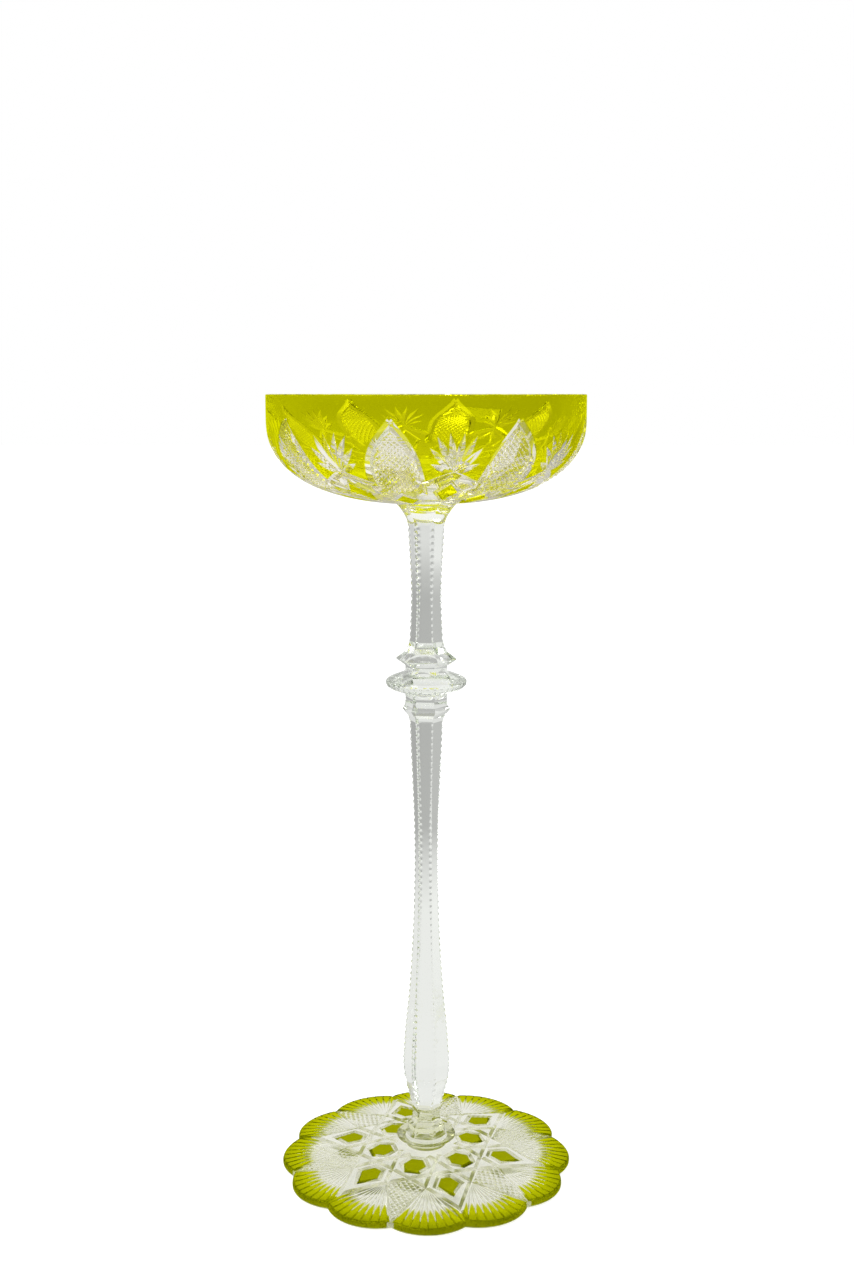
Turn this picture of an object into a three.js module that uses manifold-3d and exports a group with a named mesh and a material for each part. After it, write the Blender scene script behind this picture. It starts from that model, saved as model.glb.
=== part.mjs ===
// A tall champagne coupe of clear crystal, cased in lime glass that is cut through to the clear.
// Millimetres, +Z up. The origin is the centre of the foot's underside, and -Y is the front.
// Plan angles are in degrees from the front, growing towards +X.
import * as THREE from 'three';
import { mergeVertices } from 'three/addons/utils/BufferGeometryUtils.js';
import Module from 'manifold-3d';

// Casing: the coloured layer, of which the cutting leaves islands standing on the crystal
const CASING = 0.9; // depth of the layer
const FUSE_GAP = 0.2; // clearance between the layer and the crystal that it is fused to

// Foot: a low dome with a scalloped edge
const FOOT_LOBES = 12;
const FOOT_TURN = 15.84; // plan angle of the first notch between two lobes
const CUSP_RADIUS = 49.5; // from the axis to the notches
const LOBE_BULGE = 5.3; // swell of a lobe past the straight line between its notches
const FOOT_EDGE = 3; // height of the top at the notches
const FOOT_CONE = 3.3; // straight part of the rise from the notches to the middle
const FOOT_CROWN = 1.7; // curved part of that rise
const FOOT_CHAMFER = 0.8; // broken lower edge
const FAN_MARGIN = 6; // from the tips of the star of straps out to the notches

// Islands of casing on the foot
const STAR_POINTS = 6; // points of the star of straps
const HEXAGON_SIDES = 6;
const HEXAGON_RADIUS = 4.3; // to the corners of a hexagon button
const LOZENGE_HALF_WIDTH = 3.85;
const LOZENGE_BLUNT_HALF = 1.6; // half of the blunt inner end
const LOZENGE_INNER_MARGIN = 3.3; // clear bevel between the star's inner strap and the lozenge
const LOZENGE_TIP_MARGIN = 9.3; // clear bevel between the lozenge and the star's point
const LOBE_CASING = 8.5; // reach of a lobe's casing inwards from the notches
const LOBE_FLUTES = 9; // flutes of the fan that bite into that casing
const FLUTE_BITE = 3.2;
const LOBE_GAP = 1.4; // clear mitre between the casings of two lobes
const KITE_SHOULDER = 28.8; // from the axis out to the widest line of a kite between two fans
const KITE_HALF_WIDTH = 7.3;
const FAN_GROOVES = 5; // main flutes of a fan, which go on into the crystal
const FLUTE_LENGTH = 15; // of these flutes, from the fan's corner
const FLUTE_LEAN = 14; // degrees from the star's axis to the middle flute
const FLUTE_SPREAD = 33; // degrees from the middle flute to the last one
const FLUTE_DEPTH = 0.6;

// Grooves cut into the crystal
const GROOVE_DEPTH = 0.75;
const GROOVE_SPREAD = 1.4; // half of a groove's width for each millimetre of its depth
const GROOVE_LIFT = 1.4; // how far a cutter stands out of the glass
const GROOVE_STEP = 10; // longest straight run of a groove over curved glass
const FRAME_MARGIN = 1.4; // from the corner of an island to the corner of the groove round it

// Stem: hexagonal, stacked from the foot up, with every corner notched
const STEM_TURN = 22.2; // plan angle of one corner
const NOTCH_PITCH = 2.3;
const NOTCH_WIDTH = 1.1; // from the corner to the notch's end, along a side
const BUTTON_RADIUS = 10.75;
const BUTTON_UNDER = 4.6; // from the button's seat to its widest line
const BUTTON_SHELF = 0.7; // from there to the hexagonal block on its top
const BUTTON_BLOCK = 3.7; // height of that block
const BUTTON_BLOCK_RADIUS = 7.2;
const BUTTON_SEAT_INSET = 2.6;
const STUB_HEIGHT = 6.8;
const STUB_RADIUS = 5;
const STUB_FLARE = 1.8; // swell of the stub where it meets the button
const LOWER_STEM_FOOT_RADIUS = 5.4;
const LOWER_STEM_FOOT_LENGTH = 13.6; // from the stem's foot up to its swell
const LOWER_STEM_SWELL_RADIUS = 8.5;
const LOWER_STEM_SWELL_LENGTH = 12; // from the swell to the shoulder
const LOWER_STEM_SHOULDER_RADIUS = 8.15;
const LOWER_STEM_SHOULDER_LENGTH = 21.74; // from the shoulder to the taper
const LOWER_STEM_TAPER_RADIUS = 6.15;
const LOWER_STEM_TAPER_LENGTH = 46; // from the taper to the waist
const LOWER_STEM_WAIST_RADIUS = 4.3;
const LOWER_STEM_WAIST_LENGTH = 51.8; // from the waist to the top
const LOWER_STEM_TOP_RADIUS = 6;
const LOWER_RING_RADIUS = 8.5;
const LOWER_RING_UNDER = 4.2; // from its lower face to its sharp edge
const LOWER_RING_ABOVE = 4.2;
const NECK_RADIUS = 7.4; // of the necks below and above the disc
const DISC_RADIUS = 14.3;
const DISC_NECK = 1.8; // height of the neck under the disc
const DISC_NECK_SWELL = 0.6; // how far that neck widens towards the disc
const DISC_UNDER = 3.2; // height of the fluted underside
const DISC_RIM = 1.5; // height of the rim
const DISC_CROWN = 2.3; // from the rim to the edge of the crown
const DISC_CROWN_WIDTH = 4; // from the rim in to the edge of the crown
const DISC_THROAT = 1.2; // from there up to the neck
const DISC_FLUTES = 36;
const DISC_FLUTE_DEPTH = 0.7;
const UPPER_RING_RADIUS = 10.75;
const UPPER_RING_NECK = 1.4; // height of the neck under the ring
const UPPER_RING_UNDER = 2.4; // from the neck to the ring's edge
const UPPER_RING_BEVEL = 6.3; // from the edge to the stem
const UPPER_RING_ROUND = 0.35; // share of the way from a hexagon to a circle at the edge
const UPPER_RING_HOLLOW = 0.28; // share of the ring's overhang that is left where the bevel turns upright
const UPPER_RING_TURN = 0.4; // share of the bevel's height up to that turn
const UPPER_STEM_FOOT_RADIUS = 6;
const UPPER_STEM_FOOT_LENGTH = 15; // from the stem's foot up to its waist
const UPPER_STEM_WAIST_RADIUS = 5.4;
const UPPER_STEM_WAIST_LENGTH = 26.1; // from the waist to the top
const UPPER_STEM_TOP_RADIUS = 6.5;
const COLLAR_FLARE = 6.5; // height of the stem's flare below the bowl
const COLLAR_LIP = 1.6; // height of the last steep turn into the bowl
const COLLAR_SWELL = 5; // how far the flare stands out past the stem

// Bowl: a straight wall that turns into a flat floor along a superellipse
const BOWL_TURN = -12.4; // plan angle of one arch
const RIM_RADIUS = 55;
const RIM_WALL = 1.8; // wall at the rim, with the casing
const RIM_CLEAR = 0.8; // polished clear lip above the casing
const WALL_STRAIGHT = 8; // straight wall below the rim
const BOWL_CURVE = 29.5; // depth of the curved part, outside
const FLOOR = 6; // glass under the middle of the bowl
const OUTER_POWER = 2.4; // squareness of the outside curve
const INNER_POWER = 3; // squareness of the inside curve
const INNER_TAPER = 0.08; // how far the inner wall leans in for each millimetre of depth

// Cutting through the bowl's casing, as depths below the rim and widths across each motif
const ARCHES = 8;
const ARCH_PEAK = 7;
const ARCH_BASE = 33;
const ARCH_HALF_WIDTH = 9.5;
const ARCH_SHOULDER_DEPTH = 12;
const ARCH_SHOULDER_HALF_WIDTH = 9.6;
const FAN_HUB = 25;
const FAN_RAYS = 9;
const FAN_SPREAD = 64; // degrees from the upright to the last ray
const FAN_RAY_MIDDLE = 14;
const FAN_RAY_SIDE = 9;
const FAN_WEB = 5; // from the hub to the crotch between two rays
const HUB_HALF_WIDTH = 0.5;
const STRAP_RUN = 2.4; // run of the straps under a fan for each millimetre of fall
// Lozenges under the fans and under the arches; the margin is from the rim inwards, on the plan
const HUB_LOZENGE = { margin: 16.5, halfLength: 4.5, halfWidth: 2.5 };
const BASE_LOZENGE = { margin: 27, halfLength: 3.2, halfWidth: 2.4 };

// Fineness of the facets
const TURN_SEGMENTS = 48; // a multiple of the lobes and of twice the arches
const LOBE_SEGMENTS = 8;
const CURVE_STEPS = 10;
const ARCH_STEPS = 5;
const FOOT_RINGS = 4;
const SECTION_POINTS = 24; // a multiple of the stem's sides
const SPLINE_SAMPLES = 8; // between two stations of a stem
const MERGE_DISTANCE = 1e-5;

// Heights and radii that follow from the sizes above
const LOBE_ANGLE = 360 / FOOT_LOBES;
const STAR_ANGLE = 360 / STAR_POINTS;
const ARCH_ANGLE = 360 / ARCHES;
const STRAP_PITCH = (CUSP_RADIUS - FAN_MARGIN) / 3; // the straps lie 1/2 and 3/2 of it from the axis
const HALF_CHORD = CUSP_RADIUS * Math.sin(radians(LOBE_ANGLE / 2));
const CHORD_DISTANCE = CUSP_RADIUS * Math.cos(radians(LOBE_ANGLE / 2));
const LOBE_RADIUS = (HALF_CHORD ** 2 + LOBE_BULGE ** 2) / (2 * LOBE_BULGE);
const LOBE_CENTRE = CHORD_DISTANCE + LOBE_BULGE - LOBE_RADIUS;
const FOOT_REACH = CHORD_DISTANCE + LOBE_BULGE;
const FOOT_SEAT = footTop(BUTTON_RADIUS) - CASING;
const BUTTON_SHELF_TOP = BUTTON_UNDER + BUTTON_SHELF;
const STUB_SEAT = FOOT_SEAT + BUTTON_SHELF_TOP + BUTTON_BLOCK;
const LOWER_STEM_SEAT = STUB_SEAT + STUB_HEIGHT;
const LOWER_STEM_SWELL = LOWER_STEM_FOOT_LENGTH; // heights of the stem's stations above its foot
const LOWER_STEM_SHOULDER = LOWER_STEM_SWELL + LOWER_STEM_SWELL_LENGTH;
const LOWER_STEM_TAPER = LOWER_STEM_SHOULDER + LOWER_STEM_SHOULDER_LENGTH;
const LOWER_STEM_WAIST = LOWER_STEM_TAPER + LOWER_STEM_TAPER_LENGTH;
const LOWER_STEM_LENGTH = LOWER_STEM_WAIST + LOWER_STEM_WAIST_LENGTH;
const LOWER_RING_SEAT = LOWER_STEM_SEAT + LOWER_STEM_LENGTH;
const DISC_SEAT = LOWER_RING_SEAT + LOWER_RING_UNDER + LOWER_RING_ABOVE;
const DISC_RIM_TOP = DISC_NECK + DISC_UNDER + DISC_RIM;
const DISC_HEIGHT = DISC_RIM_TOP + DISC_CROWN + DISC_THROAT;
const UPPER_RING_SEAT = DISC_SEAT + DISC_HEIGHT;
const UPPER_RING_EDGE = UPPER_RING_NECK + UPPER_RING_UNDER;
const UPPER_STEM_SEAT = UPPER_RING_SEAT + UPPER_RING_EDGE + UPPER_RING_BEVEL;
const UPPER_STEM_LENGTH = UPPER_STEM_FOOT_LENGTH + UPPER_STEM_WAIST_LENGTH;
const COLLAR_SEAT = UPPER_STEM_SEAT + UPPER_STEM_LENGTH;
const COLLAR_RADIUS = UPPER_STEM_TOP_RADIUS + COLLAR_SWELL;
const BOWL_SEAT = COLLAR_SEAT + COLLAR_FLARE + COLLAR_LIP;
const BOWL_HEIGHT = WALL_STRAIGHT + BOWL_CURVE - CASING;

const wasm = await Module();
wasm.setup();

function radians(degrees) {
  return (degrees * Math.PI) / 180;
}

// Height of the foot's uncut top at a distance from the axis.
function footTop(radius) {
  const share = radius / CUSP_RADIUS;
  return FOOT_EDGE + FOOT_CONE * (1 - share) + FOOT_CROWN * (1 - share ** 2);
}

// Distance from the axis to the scalloped edge, at a plan angle from the middle of a lobe.
function lobeEdge(degrees) {
  const across = LOBE_CENTRE * Math.sin(radians(degrees));
  return LOBE_CENTRE * Math.cos(radians(degrees)) + Math.sqrt(LOBE_RADIUS ** 2 - across ** 2);
}

// A point of the plan, as [x, y], from its distance and plan angle.
function onPlan(radius, degrees) {
  return [radius * Math.sin(radians(degrees)), -radius * Math.cos(radians(degrees))];
}

function shapeOf(points) {
  return new THREE.Shape(points.map(([x, y]) => new THREE.Vector2(x, y)));
}

// Turns a profile of [radius, height] points about the Z axis.
function turned(profile) {
  const points = profile.map(([radius, height]) => new THREE.Vector2(radius, height));
  const geometry = new THREE.LatheGeometry(points, TURN_SEGMENTS);
  geometry.rotateX(Math.PI / 2);
  return geometry;
}

// A solid for joining and cutting, from a closed geometry.
function solidOf(geometry) {
  const bare = geometry.clone();
  bare.deleteAttribute('normal');
  bare.deleteAttribute('uv');
  const merged = mergeVertices(bare, MERGE_DISTANCE);
  const triangles = [];
  for (let i = 0; i < merged.index.count; i += 3) {
    const [a, b, c] = [0, 1, 2].map((step) => merged.index.getX(i + step));
    if (a !== b && b !== c && c !== a) triangles.push(a, b, c);
  }
  const vertProperties = Float32Array.from(merged.attributes.position.array);
  const triVerts = Uint32Array.from(triangles);
  return new wasm.Manifold(new wasm.Mesh({ numProp: 3, vertProperties, triVerts }));
}

function geometryOf(solid) {
  const { vertProperties, triVerts } = solid.getMesh();
  return meshGeometry(vertProperties, triVerts);
}

function meshGeometry(positions, triangles) {
  const geometry = new THREE.BufferGeometry();
  geometry.setAttribute('position', new THREE.Float32BufferAttribute(Array.from(positions), 3));
  geometry.setIndex(Array.from(triangles));
  geometry.computeVertexNormals();
  return geometry;
}

// A prism that stands on the plan: its outline's x runs outwards and its y along the turn.
function uprightPrism(shape, degrees, low, high) {
  const geometry = new THREE.ExtrudeGeometry(shape, { depth: high - low, bevelEnabled: false });
  geometry.translate(0, 0, low);
  geometry.rotateZ(radians(degrees - 90));
  return solidOf(geometry);
}

// A prism that points outwards from the axis: its outline's x runs along the turn and its y up from the rim.
function radialPrism(shape, degrees) {
  const geometry = new THREE.ExtrudeGeometry(shape, {
    depth: 2 * RIM_RADIUS,
    bevelEnabled: false,
    curveSegments: ARCH_STEPS,
  });
  geometry.rotateX(Math.PI / 2);
  geometry.rotateZ(radians(degrees));
  geometry.translate(0, 0, BOWL_HEIGHT);
  return solidOf(geometry);
}

// A wedge swept along a path on the glass, which cuts a V-shaped groove. A point of the path has its place
// and the direction that points out of the glass there.
function grooveCutter(path, depth, closed = false) {
  const count = path.length;
  const sideAfter = (i) => {
    const [from, to] = [path[i % count], path[(i + 1) % count]];
    return to.place.clone().sub(from.place).cross(from.out).normalize();
  };
  const positions = [];
  path.forEach(({ place, out }, i) => {
    const after = sideAfter(closed || i < count - 1 ? i : i - 1);
    const before = sideAfter(closed || i > 0 ? i + count - 1 : i);
    const mitre = before.clone().add(after).divideScalar(1 + before.dot(after));
    const halfWidth = (depth + GROOVE_LIFT) * GROOVE_SPREAD;
    const top = place.clone().addScaledVector(out, GROOVE_LIFT);
    positions.push(...place.clone().addScaledVector(out, -depth).toArray());
    positions.push(...top.clone().addScaledVector(mitre, halfWidth).toArray());
    positions.push(...top.clone().addScaledVector(mitre, -halfWidth).toArray());
  });
  const triangles = [];
  for (let i = 0; i < (closed ? count : count - 1); i += 1) {
    const [low, high] = [3 * i, 3 * ((i + 1) % count)];
    for (const [corner, next] of [[0, 1], [1, 2], [2, 0]]) {
      triangles.push(low + corner, high + corner, high + next, low + corner, high + next, low + next);
    }
  }
  if (!closed) {
    const last = 3 * (count - 1);
    triangles.push(0, 1, 2, last, last + 2, last + 1);
  }
  return solidOf(meshGeometry(positions, triangles));
}

// A closed solid through level sections of the stem. A level has its height, its radius to the corners,
// how round it is, from 0 for a hexagon to 1 for a circle, and how deep every second point is drawn in.
function lofted(levels, count = SECTION_POINTS) {
  const positions = [];
  const triangles = [];
  const corner = 360 / HEXAGON_SIDES;
  for (const { height, radius, round, bite = 0 } of levels) {
    for (let i = 0; i < count; i += 1) {
      const angle = (360 * i) / count;
      const fromMiddle = (angle % corner) - corner / 2;
      const flat = Math.cos(radians(corner / 2)) / Math.cos(radians(fromMiddle));
      const reach = radius * (flat + round * (1 - flat)) - bite * (i % 2);
      positions.push(...onPlan(reach, angle), height);
    }
  }
  for (let level = 0; level < levels.length - 1; level += 1) {
    for (let i = 0; i < count; i += 1) {
      const a = level * count + i;
      const b = level * count + ((i + 1) % count);
      triangles.push(a, b, b + count, a, b + count, a + count);
    }
  }
  closeEnds(positions, triangles, count, levels[0].height, levels[levels.length - 1].height);
  return meshGeometry(positions, triangles);
}

// Adds the flat ends of a stack of rings: the first ring faces down and the last one up.
function closeEnds(positions, triangles, count, low, high) {
  const rings = positions.length / 3 / count;
  const lowCentre = positions.length / 3;
  positions.push(0, 0, low, 0, 0, high);
  const top = (rings - 1) * count;
  for (let i = 0; i < count; i += 1) {
    const next = (i + 1) % count;
    triangles.push(lowCentre, next, i);
    triangles.push(lowCentre + 1, top + i, top + next);
  }
}

// A hexagonal stem along a curve of [height, radius] stations, with notches filed across its corners.
function notchedStem(stations) {
  const curve = new THREE.SplineCurve(stations.map(([height, radius]) => new THREE.Vector2(height, radius)));
  const length = stations[stations.length - 1][0];
  const samples = curve.getPoints(SPLINE_SAMPLES * (stations.length - 1));
  const radiusAt = (height) => {
    const after = samples.findIndex((point) => point.x >= height - MERGE_DISTANCE);
    if (after <= 0) return samples[0].y;
    const [from, to] = [samples[after - 1], samples[after]];
    return from.y + ((to.y - from.y) * (height - from.x)) / (to.x - from.x);
  };
  const cornerAt = (side, height) => {
    const [x, y] = onPlan(radiusAt(height), (360 * side) / HEXAGON_SIDES);
    return new THREE.Vector3(x, y, height);
  };
  const notchEnd = (side, towards, height) => {
    const corner = cornerAt(side, height);
    const along = cornerAt(towards, height).sub(corner).setLength(NOTCH_WIDTH);
    return corner.add(along);
  };
  const count = Math.round(length / NOTCH_PITCH);
  const positions = [];
  const triangles = [];
  const addPoint = (point) => positions.push(point.x, point.y, point.z) / 3 - 1;
  const rows = Array.from({ length: count + 1 }, (_, i) => (length * i) / count);
  const sides = Array.from({ length: HEXAGON_SIDES }, (_, side) => side);
  const corners = rows.map((height) => sides.map((side) => addPoint(cornerAt(side, height))));
  for (let row = 0; row < count; row += 1) {
    const middle = (rows[row] + rows[row + 1]) / 2;
    const before = sides.map((side) => addPoint(notchEnd(side, side - 1, middle)));
    const after = sides.map((side) => addPoint(notchEnd(side, side + 1, middle)));
    const [low, high] = [corners[row], corners[row + 1]];
    for (const side of sides) {
      const next = (side + 1) % HEXAGON_SIDES;
      triangles.push(low[side], after[side], before[side], high[side], before[side], after[side]);
      triangles.push(low[side], low[next], before[next], low[side], before[next], after[side]);
      triangles.push(after[side], before[next], high[next], after[side], high[next], high[side]);
    }
  }
  for (const [ring, height, facesUp] of [[corners[0], 0, false], [corners[count], length, true]]) {
    const centre = addPoint(new THREE.Vector3(0, 0, height));
    for (const side of sides) {
      const next = (side + 1) % HEXAGON_SIDES;
      if (facesUp) triangles.push(centre, ring[side], ring[next]);
      else triangles.push(centre, ring[next], ring[side]);
    }
  }
  return meshGeometry(positions, triangles);
}

// Distances from the axis of the rings that shape the foot's top, from the button's seat outwards.
function footRings() {
  const reach = FOOT_REACH + FOOT_CHAMFER;
  const step = (reach - BUTTON_RADIUS) / FOOT_RINGS;
  return Array.from({ length: FOOT_RINGS + 1 }, (_, i) => BUTTON_RADIUS + step * i);
}

// A point of the foot's crystal, from its distances outwards along a plan angle and across it.
function footPoint([outwards, across], degrees) {
  const radius = Math.hypot(outwards, across);
  const slope = FOOT_CONE / CUSP_RADIUS + (2 * FOOT_CROWN * radius) / CUSP_RADIUS ** 2;
  const [x, y] = onPlan(1, degrees + (Math.atan2(across, outwards) * 180) / Math.PI);
  return {
    place: new THREE.Vector3(radius * x, radius * y, footTop(radius) - CASING),
    out: new THREE.Vector3(slope * x, slope * y, 1).normalize(),
  };
}

// A groove in the foot's crystal along a straight line of the plan, between two [outwards, across] points.
function footGroove(from, to, degrees, depth = GROOVE_DEPTH) {
  const run = [to[0] - from[0], to[1] - from[1]];
  const steps = Math.ceil(Math.hypot(...run) / GROOVE_STEP);
  const path = Array.from({ length: steps + 1 }, (_, i) =>
    footPoint([from[0] + (run[0] * i) / steps, from[1] + (run[1] * i) / steps], degrees));
  return grooveCutter(path, depth);
}

// A groove round an island of casing.
function frameGroove(outline, degrees) {
  const [sumX, sumY] = outline.reduce(([x, y], corner) => [x + corner[0], y + corner[1]], [0, 0]);
  const [x, y] = [sumX / outline.length, sumY / outline.length];
  const path = outline.map((corner) => {
    const grow = 1 + FRAME_MARGIN / Math.hypot(corner[0] - x, corner[1] - y);
    return footPoint([x + (corner[0] - x) * grow, y + (corner[1] - y) * grow], degrees);
  });
  return grooveCutter(path, GROOVE_DEPTH, true);
}

// The flutes of a fan, from a corner of the star out over a lobe.
function fanFlutes(degrees, side) {
  const corner = [2 * STRAP_PITCH, (side * 2 * STRAP_PITCH) / (2 * Math.sqrt(3))];
  return Array.from({ length: FAN_GROOVES }, (_, i) => {
    const lean = side * FLUTE_LEAN + FLUTE_SPREAD * ((2 * i) / (FAN_GROOVES - 1) - 1);
    const tip = [
      corner[0] + FLUTE_LENGTH * Math.cos(radians(lean)),
      corner[1] + FLUTE_LENGTH * Math.sin(radians(lean)),
    ];
    return footGroove(corner, tip, degrees, FLUTE_DEPTH);
  });
}

// The straps, kites and fans that are cut into the foot, and the grooves round its islands.
function footGrooves() {
  const grooves = [];
  const strapEnd = 3 * STRAP_PITCH * Math.sin(radians(STAR_ANGLE));
  for (let i = 0; i < STAR_POINTS; i += 1) {
    const axis = STAR_ANGLE * i;
    const kiteAxis = axis + STAR_ANGLE / 2;
    grooves.push(footGroove([1.5 * STRAP_PITCH, -strapEnd], [1.5 * STRAP_PITCH, strapEnd], axis));
    grooves.push(footGroove([3 * STRAP_PITCH, 0], [CUSP_RADIUS + LOBE_GAP, 0], axis));
    grooves.push(frameGroove(lozengeOutline(), axis), frameGroove(hexagonOutline(), kiteAxis));
    for (const side of [-1, 1]) {
      const strapStart = [STRAP_PITCH / 2, side * BUTTON_RADIUS];
      grooves.push(footGroove(strapStart, [STRAP_PITCH / 2, side * KITE_SHOULDER], axis));
      grooves.push(footGroove([KITE_SHOULDER, side * KITE_HALF_WIDTH], [CUSP_RADIUS, 0], kiteAxis));
      grooves.push(...fanFlutes(axis, side));
    }
  }
  return wasm.Manifold.union(grooves);
}

function footCrystal() {
  const rings = footRings();
  const reach = rings[FOOT_RINGS];
  const top = rings.map((radius) => [radius, footTop(radius) - CASING]);
  const dome = turned([[0, 0], [reach, 0], ...top.reverse(), [0, FOOT_SEAT]]);
  const outline = [];
  for (let lobe = 0; lobe < FOOT_LOBES; lobe += 1) {
    for (let i = 0; i < LOBE_SEGMENTS; i += 1) {
      const fromMiddle = LOBE_ANGLE * (i / LOBE_SEGMENTS - 0.5);
      outline.push(onPlan(lobeEdge(fromMiddle) - FOOT_CHAMFER, LOBE_ANGLE * (lobe + 0.5) + fromMiddle));
    }
  }
  const scallop = new THREE.ExtrudeGeometry(shapeOf(outline), {
    depth: 2 * FOOT_SEAT,
    bevelThickness: FOOT_CHAMFER,
    bevelSize: FOOT_CHAMFER,
    bevelSegments: 1,
  });
  scallop.translate(0, 0, FOOT_CHAMFER);
  return geometryOf(solidOf(dome).intersect(solidOf(scallop)).subtract(footGrooves()));
}

// The whole casing of the foot before cutting, as a solid from which its islands are taken.
function footCasing() {
  const rings = footRings();
  const upper = rings.map((radius) => [radius, footTop(radius)]);
  const lower = rings.map((radius) => [radius, footTop(radius) - CASING + FUSE_GAP]);
  return solidOf(turned([...lower, ...upper.reverse(), lower[0]]));
}

function footIsland(casing, outline, degrees) {
  return geometryOf(casing.intersect(uprightPrism(shapeOf(outline), degrees, 0, 2 * FOOT_SEAT)));
}

function hexagonOutline() {
  const centre = (2 * STRAP_PITCH) / Math.sqrt(3);
  return Array.from({ length: HEXAGON_SIDES }, (_, i) => {
    const angle = radians((360 * (i + 0.5)) / HEXAGON_SIDES);
    return [centre + HEXAGON_RADIUS * Math.cos(angle), HEXAGON_RADIUS * Math.sin(angle)];
  });
}

function lozengeOutline() {
  const inner = 1.5 * STRAP_PITCH + LOZENGE_INNER_MARGIN;
  const widest = 2 * STRAP_PITCH;
  const tip = 3 * STRAP_PITCH - LOZENGE_TIP_MARGIN;
  return [
    [inner, -LOZENGE_BLUNT_HALF],
    [widest, -LOZENGE_HALF_WIDTH],
    [tip, 0],
    [widest, LOZENGE_HALF_WIDTH],
    [inner, LOZENGE_BLUNT_HALF],
  ];
}

// A lobe's casing: the scalloped edge outside, and inside the zigzag that the fan's flutes leave.
function lobeOutline() {
  const half = LOBE_ANGLE / 2 - (Math.asin(LOBE_GAP / 2 / CUSP_RADIUS) * 180) / Math.PI;
  const outline = [];
  for (let i = 0; i <= LOBE_SEGMENTS; i += 1) {
    const angle = half * ((2 * i) / LOBE_SEGMENTS - 1);
    outline.push([lobeEdge(angle), angle]);
  }
  for (let i = 0; i <= 2 * LOBE_FLUTES; i += 1) {
    const bite = i % 2 === 0 ? 0 : FLUTE_BITE;
    outline.push([CUSP_RADIUS - LOBE_CASING + bite, half * (1 - i / LOBE_FLUTES)]);
  }
  return outline.map(([radius, angle]) => [
    radius * Math.cos(radians(angle)),
    radius * Math.sin(radians(angle)),
  ]);
}

function footButton() {
  return lofted([
    { height: 0, radius: BUTTON_RADIUS - BUTTON_SEAT_INSET, round: 1 },
    { height: BUTTON_UNDER, radius: BUTTON_RADIUS, round: 1 },
    { height: BUTTON_SHELF_TOP, radius: BUTTON_BLOCK_RADIUS, round: 0 },
    { height: BUTTON_SHELF_TOP + BUTTON_BLOCK, radius: STUB_RADIUS + STUB_FLARE, round: 0 },
  ]);
}

function footStub() {
  return lofted([
    { height: 0, radius: STUB_RADIUS + STUB_FLARE, round: 0 },
    { height: STUB_HEIGHT / 4, radius: STUB_RADIUS + STUB_FLARE / 4, round: 0 },
    { height: STUB_HEIGHT / 2, radius: STUB_RADIUS, round: 0 },
    { height: STUB_HEIGHT, radius: LOWER_STEM_FOOT_RADIUS, round: 0 },
  ]);
}

function lowerStem() {
  return notchedStem([
    [0, LOWER_STEM_FOOT_RADIUS],
    [LOWER_STEM_SWELL, LOWER_STEM_SWELL_RADIUS],
    [LOWER_STEM_SHOULDER, LOWER_STEM_SHOULDER_RADIUS],
    [LOWER_STEM_TAPER, LOWER_STEM_TAPER_RADIUS],
    [LOWER_STEM_WAIST, LOWER_STEM_WAIST_RADIUS],
    [LOWER_STEM_LENGTH, LOWER_STEM_TOP_RADIUS],
  ]);
}

function lowerRing() {
  const flare = (LOWER_RING_RADIUS - LOWER_STEM_TOP_RADIUS) / 3;
  return lofted([
    { height: 0, radius: LOWER_STEM_TOP_RADIUS, round: 0 },
    { height: LOWER_RING_UNDER / 2, radius: LOWER_STEM_TOP_RADIUS + flare, round: 0 },
    { height: LOWER_RING_UNDER, radius: LOWER_RING_RADIUS, round: 0 },
    { height: LOWER_RING_UNDER + LOWER_RING_ABOVE, radius: NECK_RADIUS, round: 0 },
  ]);
}

function knopDisc() {
  const crownRadius = DISC_RADIUS - DISC_CROWN_WIDTH;
  return lofted([
    { height: 0, radius: NECK_RADIUS, round: 0 },
    { height: DISC_NECK, radius: NECK_RADIUS + DISC_NECK_SWELL, round: 1 },
    { height: DISC_RIM_TOP - DISC_RIM, radius: DISC_RADIUS, round: 1, bite: DISC_FLUTE_DEPTH },
    { height: DISC_RIM_TOP, radius: DISC_RADIUS, round: 1 },
    { height: DISC_HEIGHT - DISC_THROAT, radius: crownRadius, round: 1 },
    { height: DISC_HEIGHT, radius: NECK_RADIUS, round: 0 },
  ], 2 * DISC_FLUTES);
}

function upperRing() {
  const overhang = UPPER_RING_RADIUS - UPPER_STEM_FOOT_RADIUS;
  const turnHeight = UPPER_RING_EDGE + UPPER_RING_BEVEL * UPPER_RING_TURN;
  const turnRadius = UPPER_STEM_FOOT_RADIUS + overhang * UPPER_RING_HOLLOW;
  return lofted([
    { height: 0, radius: NECK_RADIUS, round: 0 },
    { height: UPPER_RING_NECK, radius: NECK_RADIUS, round: 0 },
    { height: UPPER_RING_EDGE, radius: UPPER_RING_RADIUS, round: UPPER_RING_ROUND },
    { height: turnHeight, radius: turnRadius, round: 0 },
    { height: UPPER_RING_EDGE + UPPER_RING_BEVEL, radius: UPPER_STEM_FOOT_RADIUS, round: 0 },
  ]);
}

function upperStem() {
  return notchedStem([
    [0, UPPER_STEM_FOOT_RADIUS],
    [UPPER_STEM_FOOT_LENGTH, UPPER_STEM_WAIST_RADIUS],
    [UPPER_STEM_LENGTH, UPPER_STEM_TOP_RADIUS],
  ]);
}

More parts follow.
